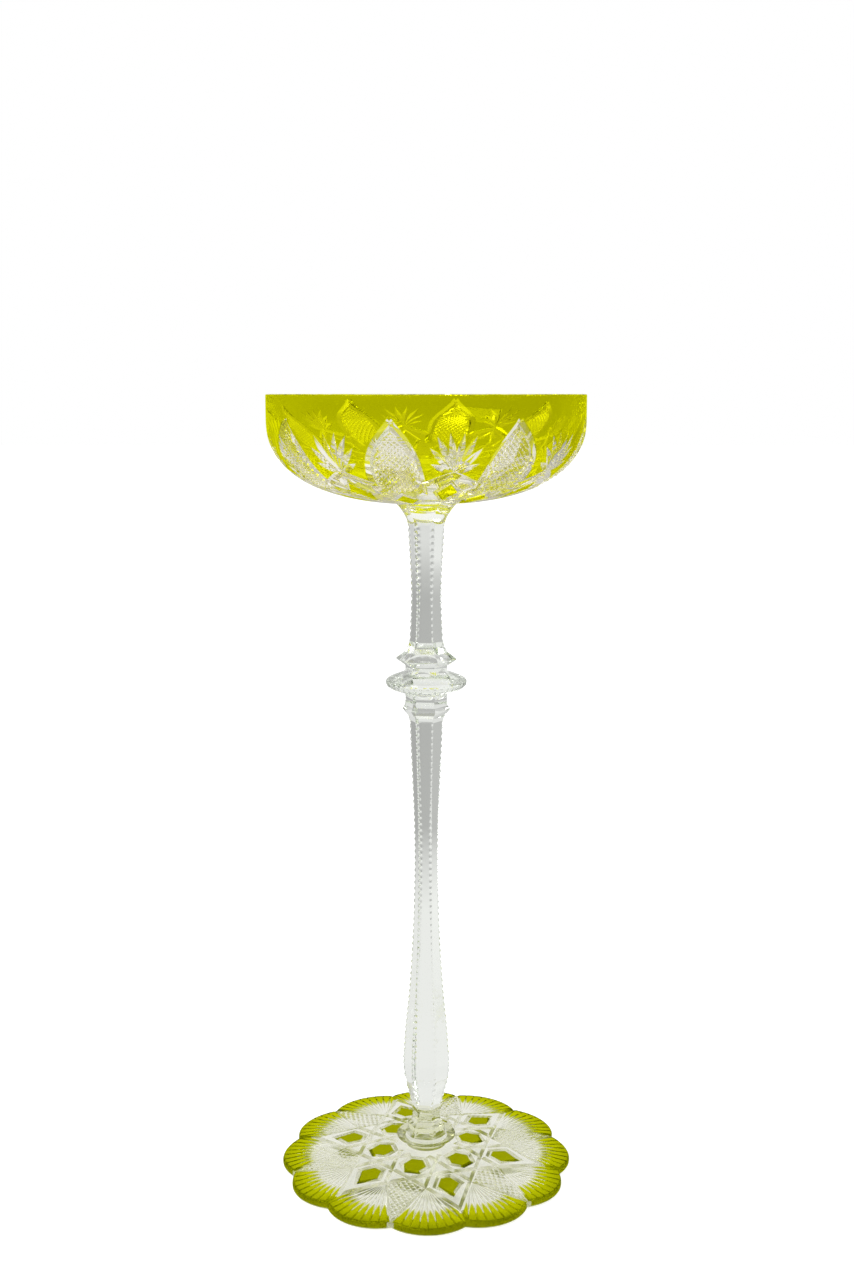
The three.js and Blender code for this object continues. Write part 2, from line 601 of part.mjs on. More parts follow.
function bowlCollar() {
  return lofted([
    { height: 0, radius: UPPER_STEM_TOP_RADIUS, round: 0 },
    { height: COLLAR_FLARE / 2, radius: UPPER_STEM_TOP_RADIUS + COLLAR_SWELL / 4, round: 0.5 },
    { height: COLLAR_FLARE, radius: COLLAR_RADIUS - COLLAR_SWELL / 3, round: 1 },
    { height: COLLAR_FLARE + COLLAR_LIP, radius: COLLAR_RADIUS, round: 1 },
  ]);
}

// A point of a superellipse, as [share of the radius, share of the depth]. Share 0 is its wall, 1 its floor.
function superellipse(share, power) {
  const angle = (share * Math.PI) / 2;
  return [Math.cos(angle) ** (2 / power), Math.sin(angle) ** (2 / power)];
}

// The curve of the bowl's outside, set in by a distance, as [radius, height] points from the wall downwards.
function outerCurve(inset, fromStep, toStep) {
  const points = [];
  for (let step = fromStep; step <= toStep; step += 1) {
    const [outwards, down] = superellipse(step / CURVE_STEPS, OUTER_POWER);
    points.push([
      (RIM_RADIUS - inset) * outwards,
      BOWL_HEIGHT - WALL_STRAIGHT - (BOWL_CURVE - inset) * down,
    ]);
  }
  return points;
}

function bowlCrystal() {
  const innerRadius = RIM_RADIUS - RIM_WALL;
  const outside = outerCurve(CASING, 0, CURVE_STEPS - 1).reverse();
  const inside = [];
  for (let step = 1; step < CURVE_STEPS; step += 1) {
    const [outwards, down] = superellipse(step / CURVE_STEPS, INNER_POWER);
    const depth = (BOWL_HEIGHT - FLOOR) * down;
    inside.push([(innerRadius - INNER_TAPER * depth) * outwards, BOWL_HEIGHT - depth]);
  }
  const rimMiddle = (RIM_RADIUS - CASING + innerRadius) / 2;
  const blank = turned([
    [0, 0],
    [COLLAR_RADIUS, 0],
    ...outside,
    [RIM_RADIUS - CASING, BOWL_HEIGHT - RIM_CLEAR],
    [rimMiddle, BOWL_HEIGHT],
    [innerRadius, BOWL_HEIGHT - RIM_CLEAR],
    ...inside,
    [0, FLOOR],
  ]);
  return geometryOf(solidOf(blank).subtract(bowlGrooves()));
}

// A point of the bowl's crystal, from its distance across a motif and its depth below the rim.
function bowlPoint([across, depth], degrees) {
  const [reach, drop] = [RIM_RADIUS - CASING, BOWL_CURVE - CASING];
  const share = Math.max(0, depth - WALL_STRAIGHT) / drop;
  const radius = reach * (1 - share ** OUTER_POWER) ** (1 / OUTER_POWER);
  const outwards = (radius / reach) ** (OUTER_POWER - 1) / reach;
  const downwards = share ** (OUTER_POWER - 1) / drop;
  const [x, y] = onPlan(1, degrees + (Math.asin(across / radius) * 180) / Math.PI);
  return {
    place: new THREE.Vector3(radius * x, radius * y, BOWL_HEIGHT - depth),
    out: new THREE.Vector3(outwards * x, outwards * y, -downwards).normalize(),
  };
}

function bowlGroove(points, degrees) {
  return grooveCutter(points.map((point) => bowlPoint(point, degrees)), GROOVE_DEPTH);
}

// The mitred sides of an arch, as two rows of [across, depth] points from its peak down.
function archSides() {
  return [-1, 1].map((side) => {
    const peak = new THREE.Vector2(0, ARCH_PEAK);
    const shoulder = new THREE.Vector2(side * ARCH_SHOULDER_HALF_WIDTH, ARCH_SHOULDER_DEPTH);
    const base = new THREE.Vector2(side * ARCH_HALF_WIDTH, ARCH_BASE);
    return new THREE.QuadraticBezierCurve(peak, shoulder, base).getPoints(ARCH_STEPS).map((p) => p.toArray());
  });
}

// The two straps that fall away from a fan's hub, as rows of [across, depth] points.
function strapSides() {
  const reach = ARCH_HALF_WIDTH;
  return [-1, 1].map((side) => [0, 1, 2].map((i) => [
    (side * reach * i) / 2,
    FAN_HUB + (reach * i) / 2 / STRAP_RUN,
  ]));
}

// The mitres round the arches and the straps under the fans, cut into the bowl.
function bowlGrooves() {
  const grooves = [];
  for (let i = 0; i < ARCHES; i += 1) {
    const axis = ARCH_ANGLE * i;
    for (const side of archSides()) grooves.push(bowlGroove(side, axis));
    for (const side of strapSides()) grooves.push(bowlGroove(side, axis + ARCH_ANGLE / 2));
  }
  return wasm.Manifold.union(grooves);
}

// The tips of a fan's rays, as [across, depth] points from the left round to the right.
function fanRays() {
  return Array.from({ length: FAN_RAYS }, (_, ray) => {
    const angle = radians(FAN_SPREAD * ((2 * ray) / (FAN_RAYS - 1) - 1));
    const length = FAN_RAY_SIDE + (FAN_RAY_MIDDLE - FAN_RAY_SIDE) * Math.cos(angle) ** 2;
    return [length * Math.sin(angle), FAN_HUB - length * Math.cos(angle)];
  });
}

// A pointed arch that runs on below its base and past the bowl's floor, as depths below the rim.
function archShape() {
  const below = -ARCH_BASE - BOWL_HEIGHT;
  const shape = new THREE.Shape();
  shape.moveTo(0, -ARCH_PEAK);
  shape.quadraticCurveTo(-ARCH_SHOULDER_HALF_WIDTH, -ARCH_SHOULDER_DEPTH, -ARCH_HALF_WIDTH, -ARCH_BASE);
  shape.lineTo(-ARCH_HALF_WIDTH, below);
  shape.lineTo(ARCH_HALF_WIDTH, below);
  shape.lineTo(ARCH_HALF_WIDTH, -ARCH_BASE);
  shape.quadraticCurveTo(ARCH_SHOULDER_HALF_WIDTH, -ARCH_SHOULDER_DEPTH, 0, -ARCH_PEAK);
  return shape;
}

// A fan of rays, with all that lies below the two straps that run down from its hub.
function fanShape() {
  const below = -FAN_HUB - BOWL_HEIGHT;
  const run = BOWL_HEIGHT * STRAP_RUN;
  const outline = [[-run, below], [run, below], [HUB_HALF_WIDTH, -FAN_HUB]];
  const step = radians((2 * FAN_SPREAD) / (FAN_RAYS - 1));
  fanRays().reverse().forEach(([across, depth], i) => {
    if (i > 0) {
      const crotch = radians(FAN_SPREAD) - step * (i - 0.5);
      outline.push([FAN_WEB * Math.sin(crotch), FAN_WEB * Math.cos(crotch) - FAN_HUB]);
    }
    outline.push([across, -depth]);
  });
  outline.push([-HUB_HALF_WIDTH, -FAN_HUB]);
  return shapeOf(outline);
}

// The casing round the bowl, cut through by the arches and the fans between them.
function bowlCasing() {
  const lastStep = CURVE_STEPS - 2;
  const outside = [[RIM_RADIUS, BOWL_HEIGHT - RIM_CLEAR], ...outerCurve(0, 0, lastStep)];
  const under = CASING - FUSE_GAP;
  const inside = [[RIM_RADIUS - under, BOWL_HEIGHT - RIM_CLEAR], ...outerCurve(under, 0, lastStep)];
  let band = solidOf(turned([...outside.reverse(), ...inside, outside[0]]));
  for (let i = 0; i < ARCHES; i += 1) {
    band = band.subtract(radialPrism(archShape(), ARCH_ANGLE * i));
    band = band.subtract(radialPrism(fanShape(), ARCH_ANGLE * (i + 0.5)));
  }
  return geometryOf(band);
}

// A lozenge of casing left low on the bowl, on the plan line of a motif.
function bowlLozenge({ margin, halfLength, halfWidth }, degrees) {
  const radius = RIM_RADIUS - margin;
  const outside = outerCurve(0, 1, CURVE_STEPS - 1);
  const inside = outerCurve(CASING - FUSE_GAP, 1, CURVE_STEPS - 1);
  const skin = solidOf(turned([...outside.reverse(), ...inside, outside[0]]));
  const outline = [
    [radius - halfLength, 0],
    [radius, -halfWidth],
    [radius + halfLength, 0],
    [radius, halfWidth],
  ];
  return geometryOf(skin.intersect(uprightPrism(shapeOf(outline), degrees, -CASING, BOWL_HEIGHT)));
}

function crystalMaterial() {
  return new THREE.MeshStandardMaterial({ color: 0xe4e9e0, roughness: 0.03, metalness: 0 });
}

function casingMaterial() {
  return new THREE.MeshStandardMaterial({ color: 0xb4b900, roughness: 0.04, metalness: 0 });
}

function piece(name, geometry, material, height = 0) {
  const mesh = new THREE.Mesh(geometry, material);
  mesh.name = name;
  mesh.position.z = height;
  return mesh;
}

function footGroup() {
  const foot = new THREE.Group();
  foot.rotation.z = radians(FOOT_TURN);
  foot.add(piece('foot_crystal', footCrystal(), crystalMaterial()));
  const casing = footCasing();
  for (let i = 0; i < STAR_POINTS; i += 1) {
    const axis = STAR_ANGLE * i;
    const hexagon = footIsland(casing, hexagonOutline(), axis + STAR_ANGLE / 2);
    const lozenge = footIsland(casing, lozengeOutline(), axis);
    foot.add(piece(`foot_hexagon_${i + 1}`, hexagon, casingMaterial()));
    foot.add(piece(`foot_lozenge_${i + 1}`, lozenge, casingMaterial()));
  }
  for (let i = 0; i < FOOT_LOBES; i += 1) {
    const lobe = footIsland(casing, lobeOutline(), LOBE_ANGLE * (i + 0.5));
    foot.add(piece(`foot_lobe_${i + 1}`, lobe, casingMaterial()));
  }
  return foot;
}

function stemGroup() {
  const stem = new THREE.Group();
  stem.rotation.z = radians(STEM_TURN);
  stem.add(piece('foot_button', footButton(), crystalMaterial(), FOOT_SEAT));
  stem.add(piece('foot_stub', footStub(), crystalMaterial(), STUB_SEAT));
  stem.add(piece('lower_stem', lowerStem(), crystalMaterial(), LOWER_STEM_SEAT));
  stem.add(piece('lower_ring', lowerRing(), crystalMaterial(), LOWER_RING_SEAT));
  stem.add(piece('knop_disc', knopDisc(), crystalMaterial(), DISC_SEAT));
  stem.add(piece('upper_ring', upperRing(), crystalMaterial(), UPPER_RING_SEAT));
  stem.add(piece('upper_stem', upperStem(), crystalMaterial(), UPPER_STEM_SEAT));
  stem.add(piece('bowl_collar', bowlCollar(), crystalMaterial(), COLLAR_SEAT));
  return stem;
}

function bowlGroup() {
  const bowl = new THREE.Group();
  bowl.rotation.z = radians(BOWL_TURN);
  bowl.position.z = BOWL_SEAT;
  bowl.add(piece('bowl_crystal', bowlCrystal(), crystalMaterial()));
  bowl.add(piece('bowl_casing', bowlCasing(), casingMaterial()));
  for (let i = 0; i < ARCHES; i += 1) {
    const hub = bowlLozenge(HUB_LOZENGE, ARCH_ANGLE * (i + 0.5));
    const base = bowlLozenge(BASE_LOZENGE, ARCH_ANGLE * i);
    bowl.add(piece(`bowl_hub_lozenge_${i + 1}`, hub, casingMaterial()));
    bowl.add(piece(`bowl_base_lozenge_${i + 1}`, base, casingMaterial()));
  }
  return bowl;
}

const coupe = new THREE.Group();
coupe.add(footGroup(), stemGroup(), bowlGroup());

export default coupe;
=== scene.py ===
"""A champagne coupe of clear crystal, cased in lime glass that is cut through in arches, fans and straps."""

import math

import bpy
import numpy as np
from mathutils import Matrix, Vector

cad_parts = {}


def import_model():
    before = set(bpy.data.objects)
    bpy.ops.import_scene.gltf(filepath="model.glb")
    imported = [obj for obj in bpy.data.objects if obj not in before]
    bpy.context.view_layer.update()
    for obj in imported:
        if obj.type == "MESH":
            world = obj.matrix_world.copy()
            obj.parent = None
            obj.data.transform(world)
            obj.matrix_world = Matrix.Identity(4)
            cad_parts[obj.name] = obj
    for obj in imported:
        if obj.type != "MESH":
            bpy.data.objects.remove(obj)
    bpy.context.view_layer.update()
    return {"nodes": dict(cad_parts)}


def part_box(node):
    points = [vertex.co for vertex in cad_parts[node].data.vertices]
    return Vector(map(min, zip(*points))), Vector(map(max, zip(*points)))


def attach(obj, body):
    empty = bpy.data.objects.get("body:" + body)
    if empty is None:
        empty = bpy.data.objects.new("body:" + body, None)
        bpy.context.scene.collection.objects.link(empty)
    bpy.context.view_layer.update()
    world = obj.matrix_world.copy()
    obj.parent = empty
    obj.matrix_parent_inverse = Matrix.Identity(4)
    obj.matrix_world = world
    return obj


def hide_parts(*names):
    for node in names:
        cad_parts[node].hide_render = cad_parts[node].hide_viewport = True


# Sizes are in millimetres, apart from the stage's, and plan angles in degrees from the front to the right
MM = 0.001

# Camera, worked out from the rim, which is seen edge-on, and from the notches of the foot
CAMERA_PLACE = (0.28, -536.2, 281.5)
CAMERA_DOWN = 9.095
CAMERA_LENS = 43.31
SENSOR_HEIGHT = 36
CLIP_START = 10

# Bounces that light needs to cross the cut glass
LIGHT_BOUNCES = 32
GLOSSY_BOUNCES = 16

# Glass
CRYSTAL_COLOUR = (0.965, 0.975, 0.955, 1)
BUTTON_SHADED_COLOUR = (0.895, 0.9, 0.795, 1)  # the button and the stub, darker and yellower than the other crystal: painted shade, and the casing's colour that they show from around them painted in
BOWL_CLEAR_COLOUR = (0.993, 0.985, 0.95, 1)
BOWL_CASING_COLOUR = (0.905, 0.925, 0.004, 1)
BOWL_SHADE_COLOUR = (0.6, 0.62, 0.002, 1)  # painted shade: a darker casing colour on the sides of islands, where the casing is seen edge-on
FOOT_CLEAR_COLOUR = (0.975, 0.97, 0.895, 1)
# The casing's colour, made deeper by painted shade for the light that crosses the casing twice, down to the
# floor and back up
FOOT_CASING_AND_SHADE_COLOUR = (0.63, 0.665, 0.002, 1)
# Painted shade, near black: on the sides and, in part, the tops of the foot's islands, and towards the rims
# of its lobes
FOOT_SHADE_COLOUR = (0.1, 0.12, 0.001, 1)
CRYSTAL_IOR = 1.53
GROUND_ROUGHNESS = 0.2
CASING = (0.1, 0.25)  # depths below the uncut surface at which the colour starts to fade and is gone
CUT_SHARPNESS = 5  # edges of cuts with a larger angle than this stay sharp
LIFT = 0.6  # height above the glass at which cutters for grooves end
FINE_LIFT = 0.3
CLEAR = 5.0  # a depth far below the casing, for glass that was ground clear
FROSTED = 10.0  # stands for the depth in fields of fine grooves, which are left slightly dull
FROST_ROUGHNESS = 0.15
FULL_SHADE = -1.0  # a depth below zero that stands for full painted shade, as on the sides of islands, where the casing is seen edge-on
WHITE = (1, 1, 1, 1)
JOINT, GROUND = 1, 2  # material slots of fused joints and of the ground underside
BOTTOM_FACE, TOP_FACE = -2, -1  # places of a stack's flat end faces in its list of faces
MIX_FIRST, MIX_SECOND, MIX_RESULT = 6, 7, 2  # colour sockets of a mix node, whose names aren't unique

# Foot
FOOT_LOBES = 12
FOOT_TURN = 15.84  # plan angle of a tip of the star
CUSP_RADIUS = 49.5  # from the axis to the notches between lobes
LOBE_BULGE = 5.3  # of a lobe beyond the line between its notches
FOOT_EDGE = 3  # height of the top at the notches
FOOT_CONE = 3.3  # rise of the top as a cone
FOOT_CROWN = 1.7  # further rise, as a dome
FOOT_ROUND = 1.0  # rounding of the edge
FOOT_ROUND_ANGLES = (0, 20, 40, 60, 80, 90)
UNDERSIDE = 0.4  # the casing ends at this height
FOOT_RINGS = 30
LOBE_SEGMENTS = 20
GROOVE_STEP = 1.5  # between the points along a groove on the foot
STRAP_PITCH = 14.5
INNER_STRAP = STRAP_PITCH / 2  # distances of the straps from the axis
OUTER_STRAP = 1.5 * STRAP_PITCH
STAR_POINTS = 6
STAR_STEP = 360 / STAR_POINTS
STAR_TIP = 3 * STRAP_PITCH
STRAP_DEPTH = 0.6
STRAP_START = 8  # from the middle of an inner strap to where it leaves the button
NOTCH_GROOVE = 0.6  # depth of the grooves that part the lobes at the star's tips
NOTCH_GROOVE_ENDS = (STAR_TIP - 1, CUSP_RADIUS + 2)
GROOVE_ANGLE = 62  # half of the angle between the sides of the foot's grooves
HEXAGON_RADIUS = 4.3
HEXAGON_BEVEL = 0.8  # from the island's corner to the corner of the groove round it
LOZENGE = ((25.0, -1.6), (29.0, -3.85), (34.2, 0.0), (29.0, 3.85), (25.0, 1.6))
LOZENGE_BEVEL = 1.1
BEVEL_DEPTH = 0.7
BEVEL_ANGLE = 52
FOOT_ISLAND_SHADE = 0.45  # share of the painted shade colour on the tops of islands
INSIDE_TOLERANCE = 1e-3  # so that points on an outline count as inside it
KITE_CORNER = (28.8, 7.3)
KITE_INNER = 24.8
KITE_TIP = CUSP_RADIUS + 1.5  # where the grooves beside a kite meet, past the foot's edge
KITE_PITCH = 1.7
KITE_DEPTH = 0.32
KITE_ANGLE = 68
KITE_SLANT = 38
KITE_STEP = 4  # between the points along its crossing grooves
SHORTEST_GROOVE = 1  # crossing grooves that would be shorter are left out
KITE_SIDE_DEPTH = 0.5  # depth of the grooves between the kite and the fans beside it
KITE_FILL = 0.93  # share of the kite that its crossing grooves take up
CLEAR_RADIUS = 38  # inside this radius only the islands keep their casing
FAN_FLUTES = 9
FAN_APEX = (28.6, 8.1)  # outwards along the nearest axis of the star, and across it
FAN_TURN = 14  # from that axis to the middle of the fan
FAN_SPREAD = 33  # from the middle of the fan to its outer flutes
FAN_REACH = 30
FLUTE_COURSE = ((0, 0.15), (7, 0.45), (11, 0.42), (18, 0.1), (30, 0.09))  # distance from the apex, depth
FLUTE_ANGLE = 78
FLUTE_LINE_COURSE = ((0, 0.1), (7, 0.48), (11, 0.5), (16, 0.4), (30, 0.35))
FLUTE_LINE_ANGLE = 42
LOBE_START = 18  # distance from the apex beyond which the casing is too thick to be cut through
LOBE_SHADE = ((18, 24), (0, 0.4))  # distance from the apex, share of the painted shade colour, which darkens the lobes towards their rims
LOBE_FADE = ((8, 13.5), (0.24, 0))  # distance from the apex, depth to which the casing is ground thin

# Stem, stacked from the foot up
STEM_TURN = 22.2  # plan angle of a corner
HEXAGON_CORNER = 60  # angle between two corners
NOTCH_PITCH = 2.3
NOTCH_DEPTH = 0.4
NOTCH_SHARE = 0.38  # half of the share of the pitch that a notch takes up
STEM_SHARPNESS = 14
CORNER_ANGLES = (0, 2.5, 5, 8, 13, 20)  # sections have points this far either side of a corner
BUTTON_SEAT_RADIUS = 7.4
BUTTON = ((0, BUTTON_SEAT_RADIUS, 1), (0.9, 7.5, 1), (1.7, 8.1, 1), (2.4, 9.2, 1), (2.9, 10.3, 1),
          (3.25, 10.75, 1), (3.55, 10.75, 1), (3.85, 10.4, 1), (4.1, 9.2, 1), (4.25, 7.6, 0.8),
          (4.8, 7.1, 0.3), (5.9, 6.9, 0))  # height, radius, roundness
STUB = ((0, 6.8), (0.9, 5.8), (2.4, 5.1), (4.9, 5), (5.6, 5.4), (6.8, 5.4))
LOWER_STEM = ((0, 5.4), (13.6, 8.5), (25.6, 8.15), (47.34, 6.15), (93.34, 4.3), (145.14, 6))
UPPER_STEM = ((0, 6), (15, 5.4), (41.1, 6.5))
NECK_RADIUS = 7.4
LOWER_RING = ((0, 6), (1.6, 6.45), (3.9, 8.3), (4.2, 8.5), (4.5, 8.3), (5.5, 7.75), (6.8, 7.45),
              (8.4, NECK_RADIUS))  # height, radius
DISC = ((0, NECK_RADIUS, 0, 0), (1.2, 7.6, 0.4, 0), (1.9, 8.4, 1, 0), (2.6, 10.4, 1, 0.5), (3.3, 12.3, 1, 1),
        (4.1, 13.6, 1, 1), (4.8, 14.15, 1, 0.8), (5.3, 14.3, 1, 0.2), (5.9, 14.3, 1, 0), (6.6, 13.8, 1, 0),
        (7.3, 12.6, 1, 0), (8.2, 10.3, 1, 0), (9.1, 8.2, 0.7, 0),
        (10, NECK_RADIUS, 0, 0))  # height, radius, roundness, fluting
DISC_FLUTES = 36
DISC_FLUTE_POINTS = 6
DISC_FLUTE_DEPTH = 0.3
UPPER_RING_RADIUS = 10.75
UPPER_RING_ROUND = 0.35
UPPER_RING = ((0, NECK_RADIUS), (1.4, 7.5), (3.3, 10.3), (3.5, 10.65), (3.8, UPPER_RING_RADIUS),
              (4.1, 10.5), (6.2, 7.7), (8.4, 6.35), (10.1, 6))  # height, radius
COLLAR_RADIUS = 11.5
COLLAR_POWER = 1.6  # higher values keep the flare slim for longer
COLLAR_RINGS = 15

# Bowl, as depths below the rim
BOWL_TURN = -12.1  # plan angle of an arch
BOWL_SEGMENTS = 320
BOWL_RINGS = 44  # along the curve outside, and again inside
BOTTOM_RINGS = (13, 15.5, 17.5)  # radii on the flat bottom
WALL_RINGS = (6, 4, 2)  # depths on the straight wall
RIM_ANGLES = (0, 30, 60, 90)
RIM_RADIUS = 55
RIM_WALL = 1.8
DEEPEST_CUT = 1.5  # points that lie deeper belong to the inside of the bowl
RIM_ROUND = 0.5
WALL_STRAIGHT = 8
BOWL_CURVE = 29.5
BOWL_HEIGHT = 36.6
LOWEST_CUT = BOWL_HEIGHT - 0.1  # grooves and casing end above the flat bottom
OUTER_POWER = 2.4  # of the superellipse outside
INNER_DEPTH = 30.6
INNER_POWER = 3.0  # of the superellipse inside
INNER_START = 0.02  # radians along the inner curve at which it leaves the rim
INNER_TAPER = 0.08  # lean of the inner wall
ARCHES = 8
ARCH_STEP = 360 / ARCHES
ARCH_PEAK = 9.1
ARCH_SPREAD = 10.85  # half of the angle that an arch takes up at its base
ARCH_ROUND = 9.0  # depth below the peak by which an arch has most of its width
ARCH_POINT = 1.2  # higher values make the peak slimmer
ARCH_BASE = 31.5
ARCH_SHOULDER = 12  # the outline is drawn with closer points down to this depth
ARCH_UPPER_POINTS = 10
ARCH_LOWER_START = ARCH_SHOULDER + 1.5
ARCH_LOWER_END = ARCH_BASE + 1
ARCH_LOWER_POINTS = 14
ARCH_OVERRUN = 0.4  # the outline's two halves run past each other this far at the peak
ARCH_MITRE = 1.0
ARCH_MITRE_ANGLE = 60
ARCH_FIELD_INSET = 1.5  # from the bottom of the mitre in to the crossing grooves
DIAMOND_PITCH = 1.35
DIAMOND_SLANT = 40
DIAMOND_DEPTH = 1.05
DIAMOND_ANGLE = 45
DIAMOND_POINTS = 45  # along a groove over the whole width
FEWEST_POINTS = 3  # grooves of which fewer points lie inside the arch are left out
ARCH_HALF_WIDTH = 11  # more than half of the width of any arch
FAN_HUB = 25
FAN_RAYS = ((10, 14), (28, 14.5), (46, 12.5), (68, 9))  # degrees from the upright, length
RAY_DEPTH = 0.85
RAY_ANGLE = 62
RAY_POINTS = 12
RAY_COURSE = ((0, 0.8), (0.4, 1), (0.65, 0.85), (1, 0.03))  # share of the length, share of the depth
STRAP_FALL = 0.42  # fall of the straps from a hub for each millimetre sideways
BOWL_STRAP_DEPTH = 0.95
BOWL_STRAP_ANGLE = 58
BOWL_STRAP_LENGTH = 11
BOWL_STRAP_POINTS = 12
STRAP_OVERRUN = 0.3  # the straps of a pair run past each other this far at their hub
HUB_LOZENGE = (31.2, 2.5, 2.9)  # depth of its middle, half of its height, half of its width
BASE_LOZENGE = (34.4, 1.1, 3.2)
LOZENGE_GROOVE = 0.6
LOZENGE_ANGLE = 55
LOZENGE_GROWTH = 1.2  # from the lozenge's corners to those of the groove round it
LOZENGE_STEPS = 4  # along each side of that groove

# Stage: the floor's size and level are in millimetres, and the other places and sizes in metres
FLOOR_SIZE = 8000
FLOOR_LEVEL = -0.3
FLOOR_GLOW = 0.72
FLOOR_COLOUR = (0.6, 0.6, 0.6, 1)
FLOOR_FADE = ((0.26, 0.5), (0.88, 0.47))  # metres from the coupe, brightness that the glass sees
FLOOR_RISE = ((1.5, 6.0), (0.0, 0.33))  # metres from the coupe, further brightness
FLOOR_SLANT = ((-0.4, 0.4), (1.15, 0.85))  # metres to the right, share of the brightness
WALL_FADE = ((-0.2, 0.85), (0.45, 0.82))  # direction from front to back, brightness
CEILING_FADE = ((0.15, 0.7), (0.0, 1.0))  # direction upwards, brightness
SOFTBOX_PLACE = (-0.7, -0.6, 1.1)
SOFTBOX_SIZE = (0.9, 0.6)
SOFTBOX_TILT = 35
SOFTBOX_TURN = -50
SOFTBOX_POWER = 6


def plan(radius, degrees):
    """A point of the plan, from its distance and plan angle."""
    angle = np.radians(degrees)
    return radius * np.sin(angle), -radius * np.cos(angle)


def ring(radius, degrees, height):
    """Points round the axis at plan angles."""
    x, y = plan(radius, degrees)
    return np.stack([x, y, np.broadcast_to(height, x.shape)], axis=1)


def plan_angles(points):
    """Plan angles of points, in degrees."""
    return np.degrees(np.arctan2(points[:, 0], -points[:, 1]))


def from_axis(degrees, turn, pitch):
    """Angle from the nearest of evenly spaced axes, one of which lies at a plan angle."""
    return (degrees - turn + pitch / 2) % pitch - pitch / 2


# Surfaces of the uncut glass: points on them with the directions out of the glass, and depths below them

def foot_top(radius):
    """Height of the foot's uncut top."""
    share = radius / CUSP_RADIUS
    return FOOT_EDGE + FOOT_CONE * (1 - share) + FOOT_CROWN * (1 - share ** 2)


def foot_surface(outwards, across, degrees):
    """Points of the foot's top: outwards runs along a plan angle, and across at right angles to it."""
    outwards, across = np.broadcast_arrays(np.asarray(outwards, float), np.asarray(across, float))
    radius = np.hypot(outwards, across)
    angle = degrees + np.degrees(np.arctan2(across, outwards))
    x, y = plan(radius, angle)
    slope = FOOT_CONE / CUSP_RADIUS + 2 * FOOT_CROWN * radius / CUSP_RADIUS ** 2
    direction_x, direction_y = plan(1, angle)
    normals = np.stack([slope * direction_x, slope * direction_y, np.ones_like(radius)], axis=-1)
    normals /= np.linalg.norm(normals, axis=-1, keepdims=True)
    return np.stack([x, y, foot_top(radius)], axis=-1), normals


def lobe_edge(degrees):
    """Distance from the axis to the scalloped edge, at an angle from the middle of a lobe."""
    half = math.radians(180 / FOOT_LOBES)
    half_chord = CUSP_RADIUS * math.sin(half)
    radius = (half_chord ** 2 + LOBE_BULGE ** 2) / (2 * LOBE_BULGE)
    centre = CUSP_RADIUS * math.cos(half) + LOBE_BULGE - radius
    angle = np.radians(degrees)
    return centre * np.cos(angle) + np.sqrt(radius ** 2 - (centre * np.sin(angle)) ** 2)


def from_lobe_middle(degrees):
    """Angle from the middle of the nearest lobe."""
    pitch = 360 / FOOT_LOBES
    return from_axis(degrees, FOOT_TURN + pitch / 2, pitch)


def bowl_radius(depth):
    """Distance from the axis to the bowl's uncut outside."""
    share = np.clip((depth - WALL_STRAIGHT) / BOWL_CURVE, 0, 1)
    return RIM_RADIUS * (1 - share ** OUTER_POWER) ** (1 / OUTER_POWER)


def bowl_gradient(radius, depth):
    """How the outside's superellipse grows outwards and downwards at a point."""
    share = np.clip((depth - WALL_STRAIGHT) / BOWL_CURVE, 0, None)
    outwards = OUTER_POWER * (radius / RIM_RADIUS) ** (OUTER_POWER - 1) / RIM_RADIUS
    downwards = OUTER_POWER * share ** (OUTER_POWER - 1) / BOWL_CURVE
    return outwards, downwards


def bowl_surface(degrees, depth):
    """Points of the bowl's uncut outside at plan angles and depths below the rim."""
    degrees, depth = np.broadcast_arrays(np.asarray(degrees, float), np.asarray(depth, float))
    radius = bowl_radius(depth)
    outwards, downwards = bowl_gradient(radius, depth)
    length = np.hypot(outwards, downwards)
    x, y = plan(radius, degrees)
    direction_x, direction_y = plan(1, degrees)
    normals = np.stack([direction_x * outwards, direction_y * outwards, -downwards], axis=-1)
    return np.stack([x, y, RIM_HEIGHT - depth], axis=-1), normals / length[..., None]


def bowl_depth(points):
    """How far points lie below the bowl's uncut outside."""
    radius = np.hypot(points[:, 0], points[:, 1])
    depth = RIM_HEIGHT - points[:, 2]
    share = np.clip((depth - WALL_STRAIGHT) / BOWL_CURVE, 0, None)
    level = (radius / RIM_RADIUS) ** OUTER_POWER + share ** OUTER_POWER - 1
    outwards, downwards = bowl_gradient(np.maximum(radius, 1), depth)
    return -level / np.hypot(outwards, downwards)


def foot_depth(points):
    """How far points lie below the foot's uncut top or inside its scalloped edge."""
    radius = np.hypot(points[:, 0], points[:, 1])
    inside = lobe_edge(from_lobe_middle(plan_angles(points))) - radius
    return np.minimum(foot_top(radius) - FOOT_ROUND * edge_drop(inside) - points[:, 2], inside)


def edge_drop(inside):
    """Share of the edge's rounding at a distance inside the scalloped edge."""
    share = np.clip(1 - inside / FOOT_ROUND, 0, 1)
    return 1 - np.sqrt(1 - share ** 2)


# Meshes

def new_object(name, points, faces, materials=()):
    """A mesh object from points in millimetres."""
    mesh = bpy.data.meshes.new(name)
    mesh.from_pydata((np.asarray(points) * MM).tolist(), [], faces)
    for material in materials:
        mesh.materials.append(material)
    piece = bpy.data.objects.new(name, mesh)
    bpy.context.scene.collection.objects.link(piece)
    return piece


def stacked(rings):
    """Points and faces of a stack of rings with equal counts, closed by a flat face at both ends."""
    count = len(rings[0])
    points = np.concatenate(rings)
    faces = []
    for level in range(len(rings) - 1):
        low = level * count
        high = low + count
        for i in range(count):
            after = (i + 1) % count
            faces.append((low + i, low + after, high + after, high + i))
    top = (len(rings) - 1) * count
    faces.append(tuple(reversed(range(count))))
    faces.append(tuple(range(top, top + count)))
    return points, faces


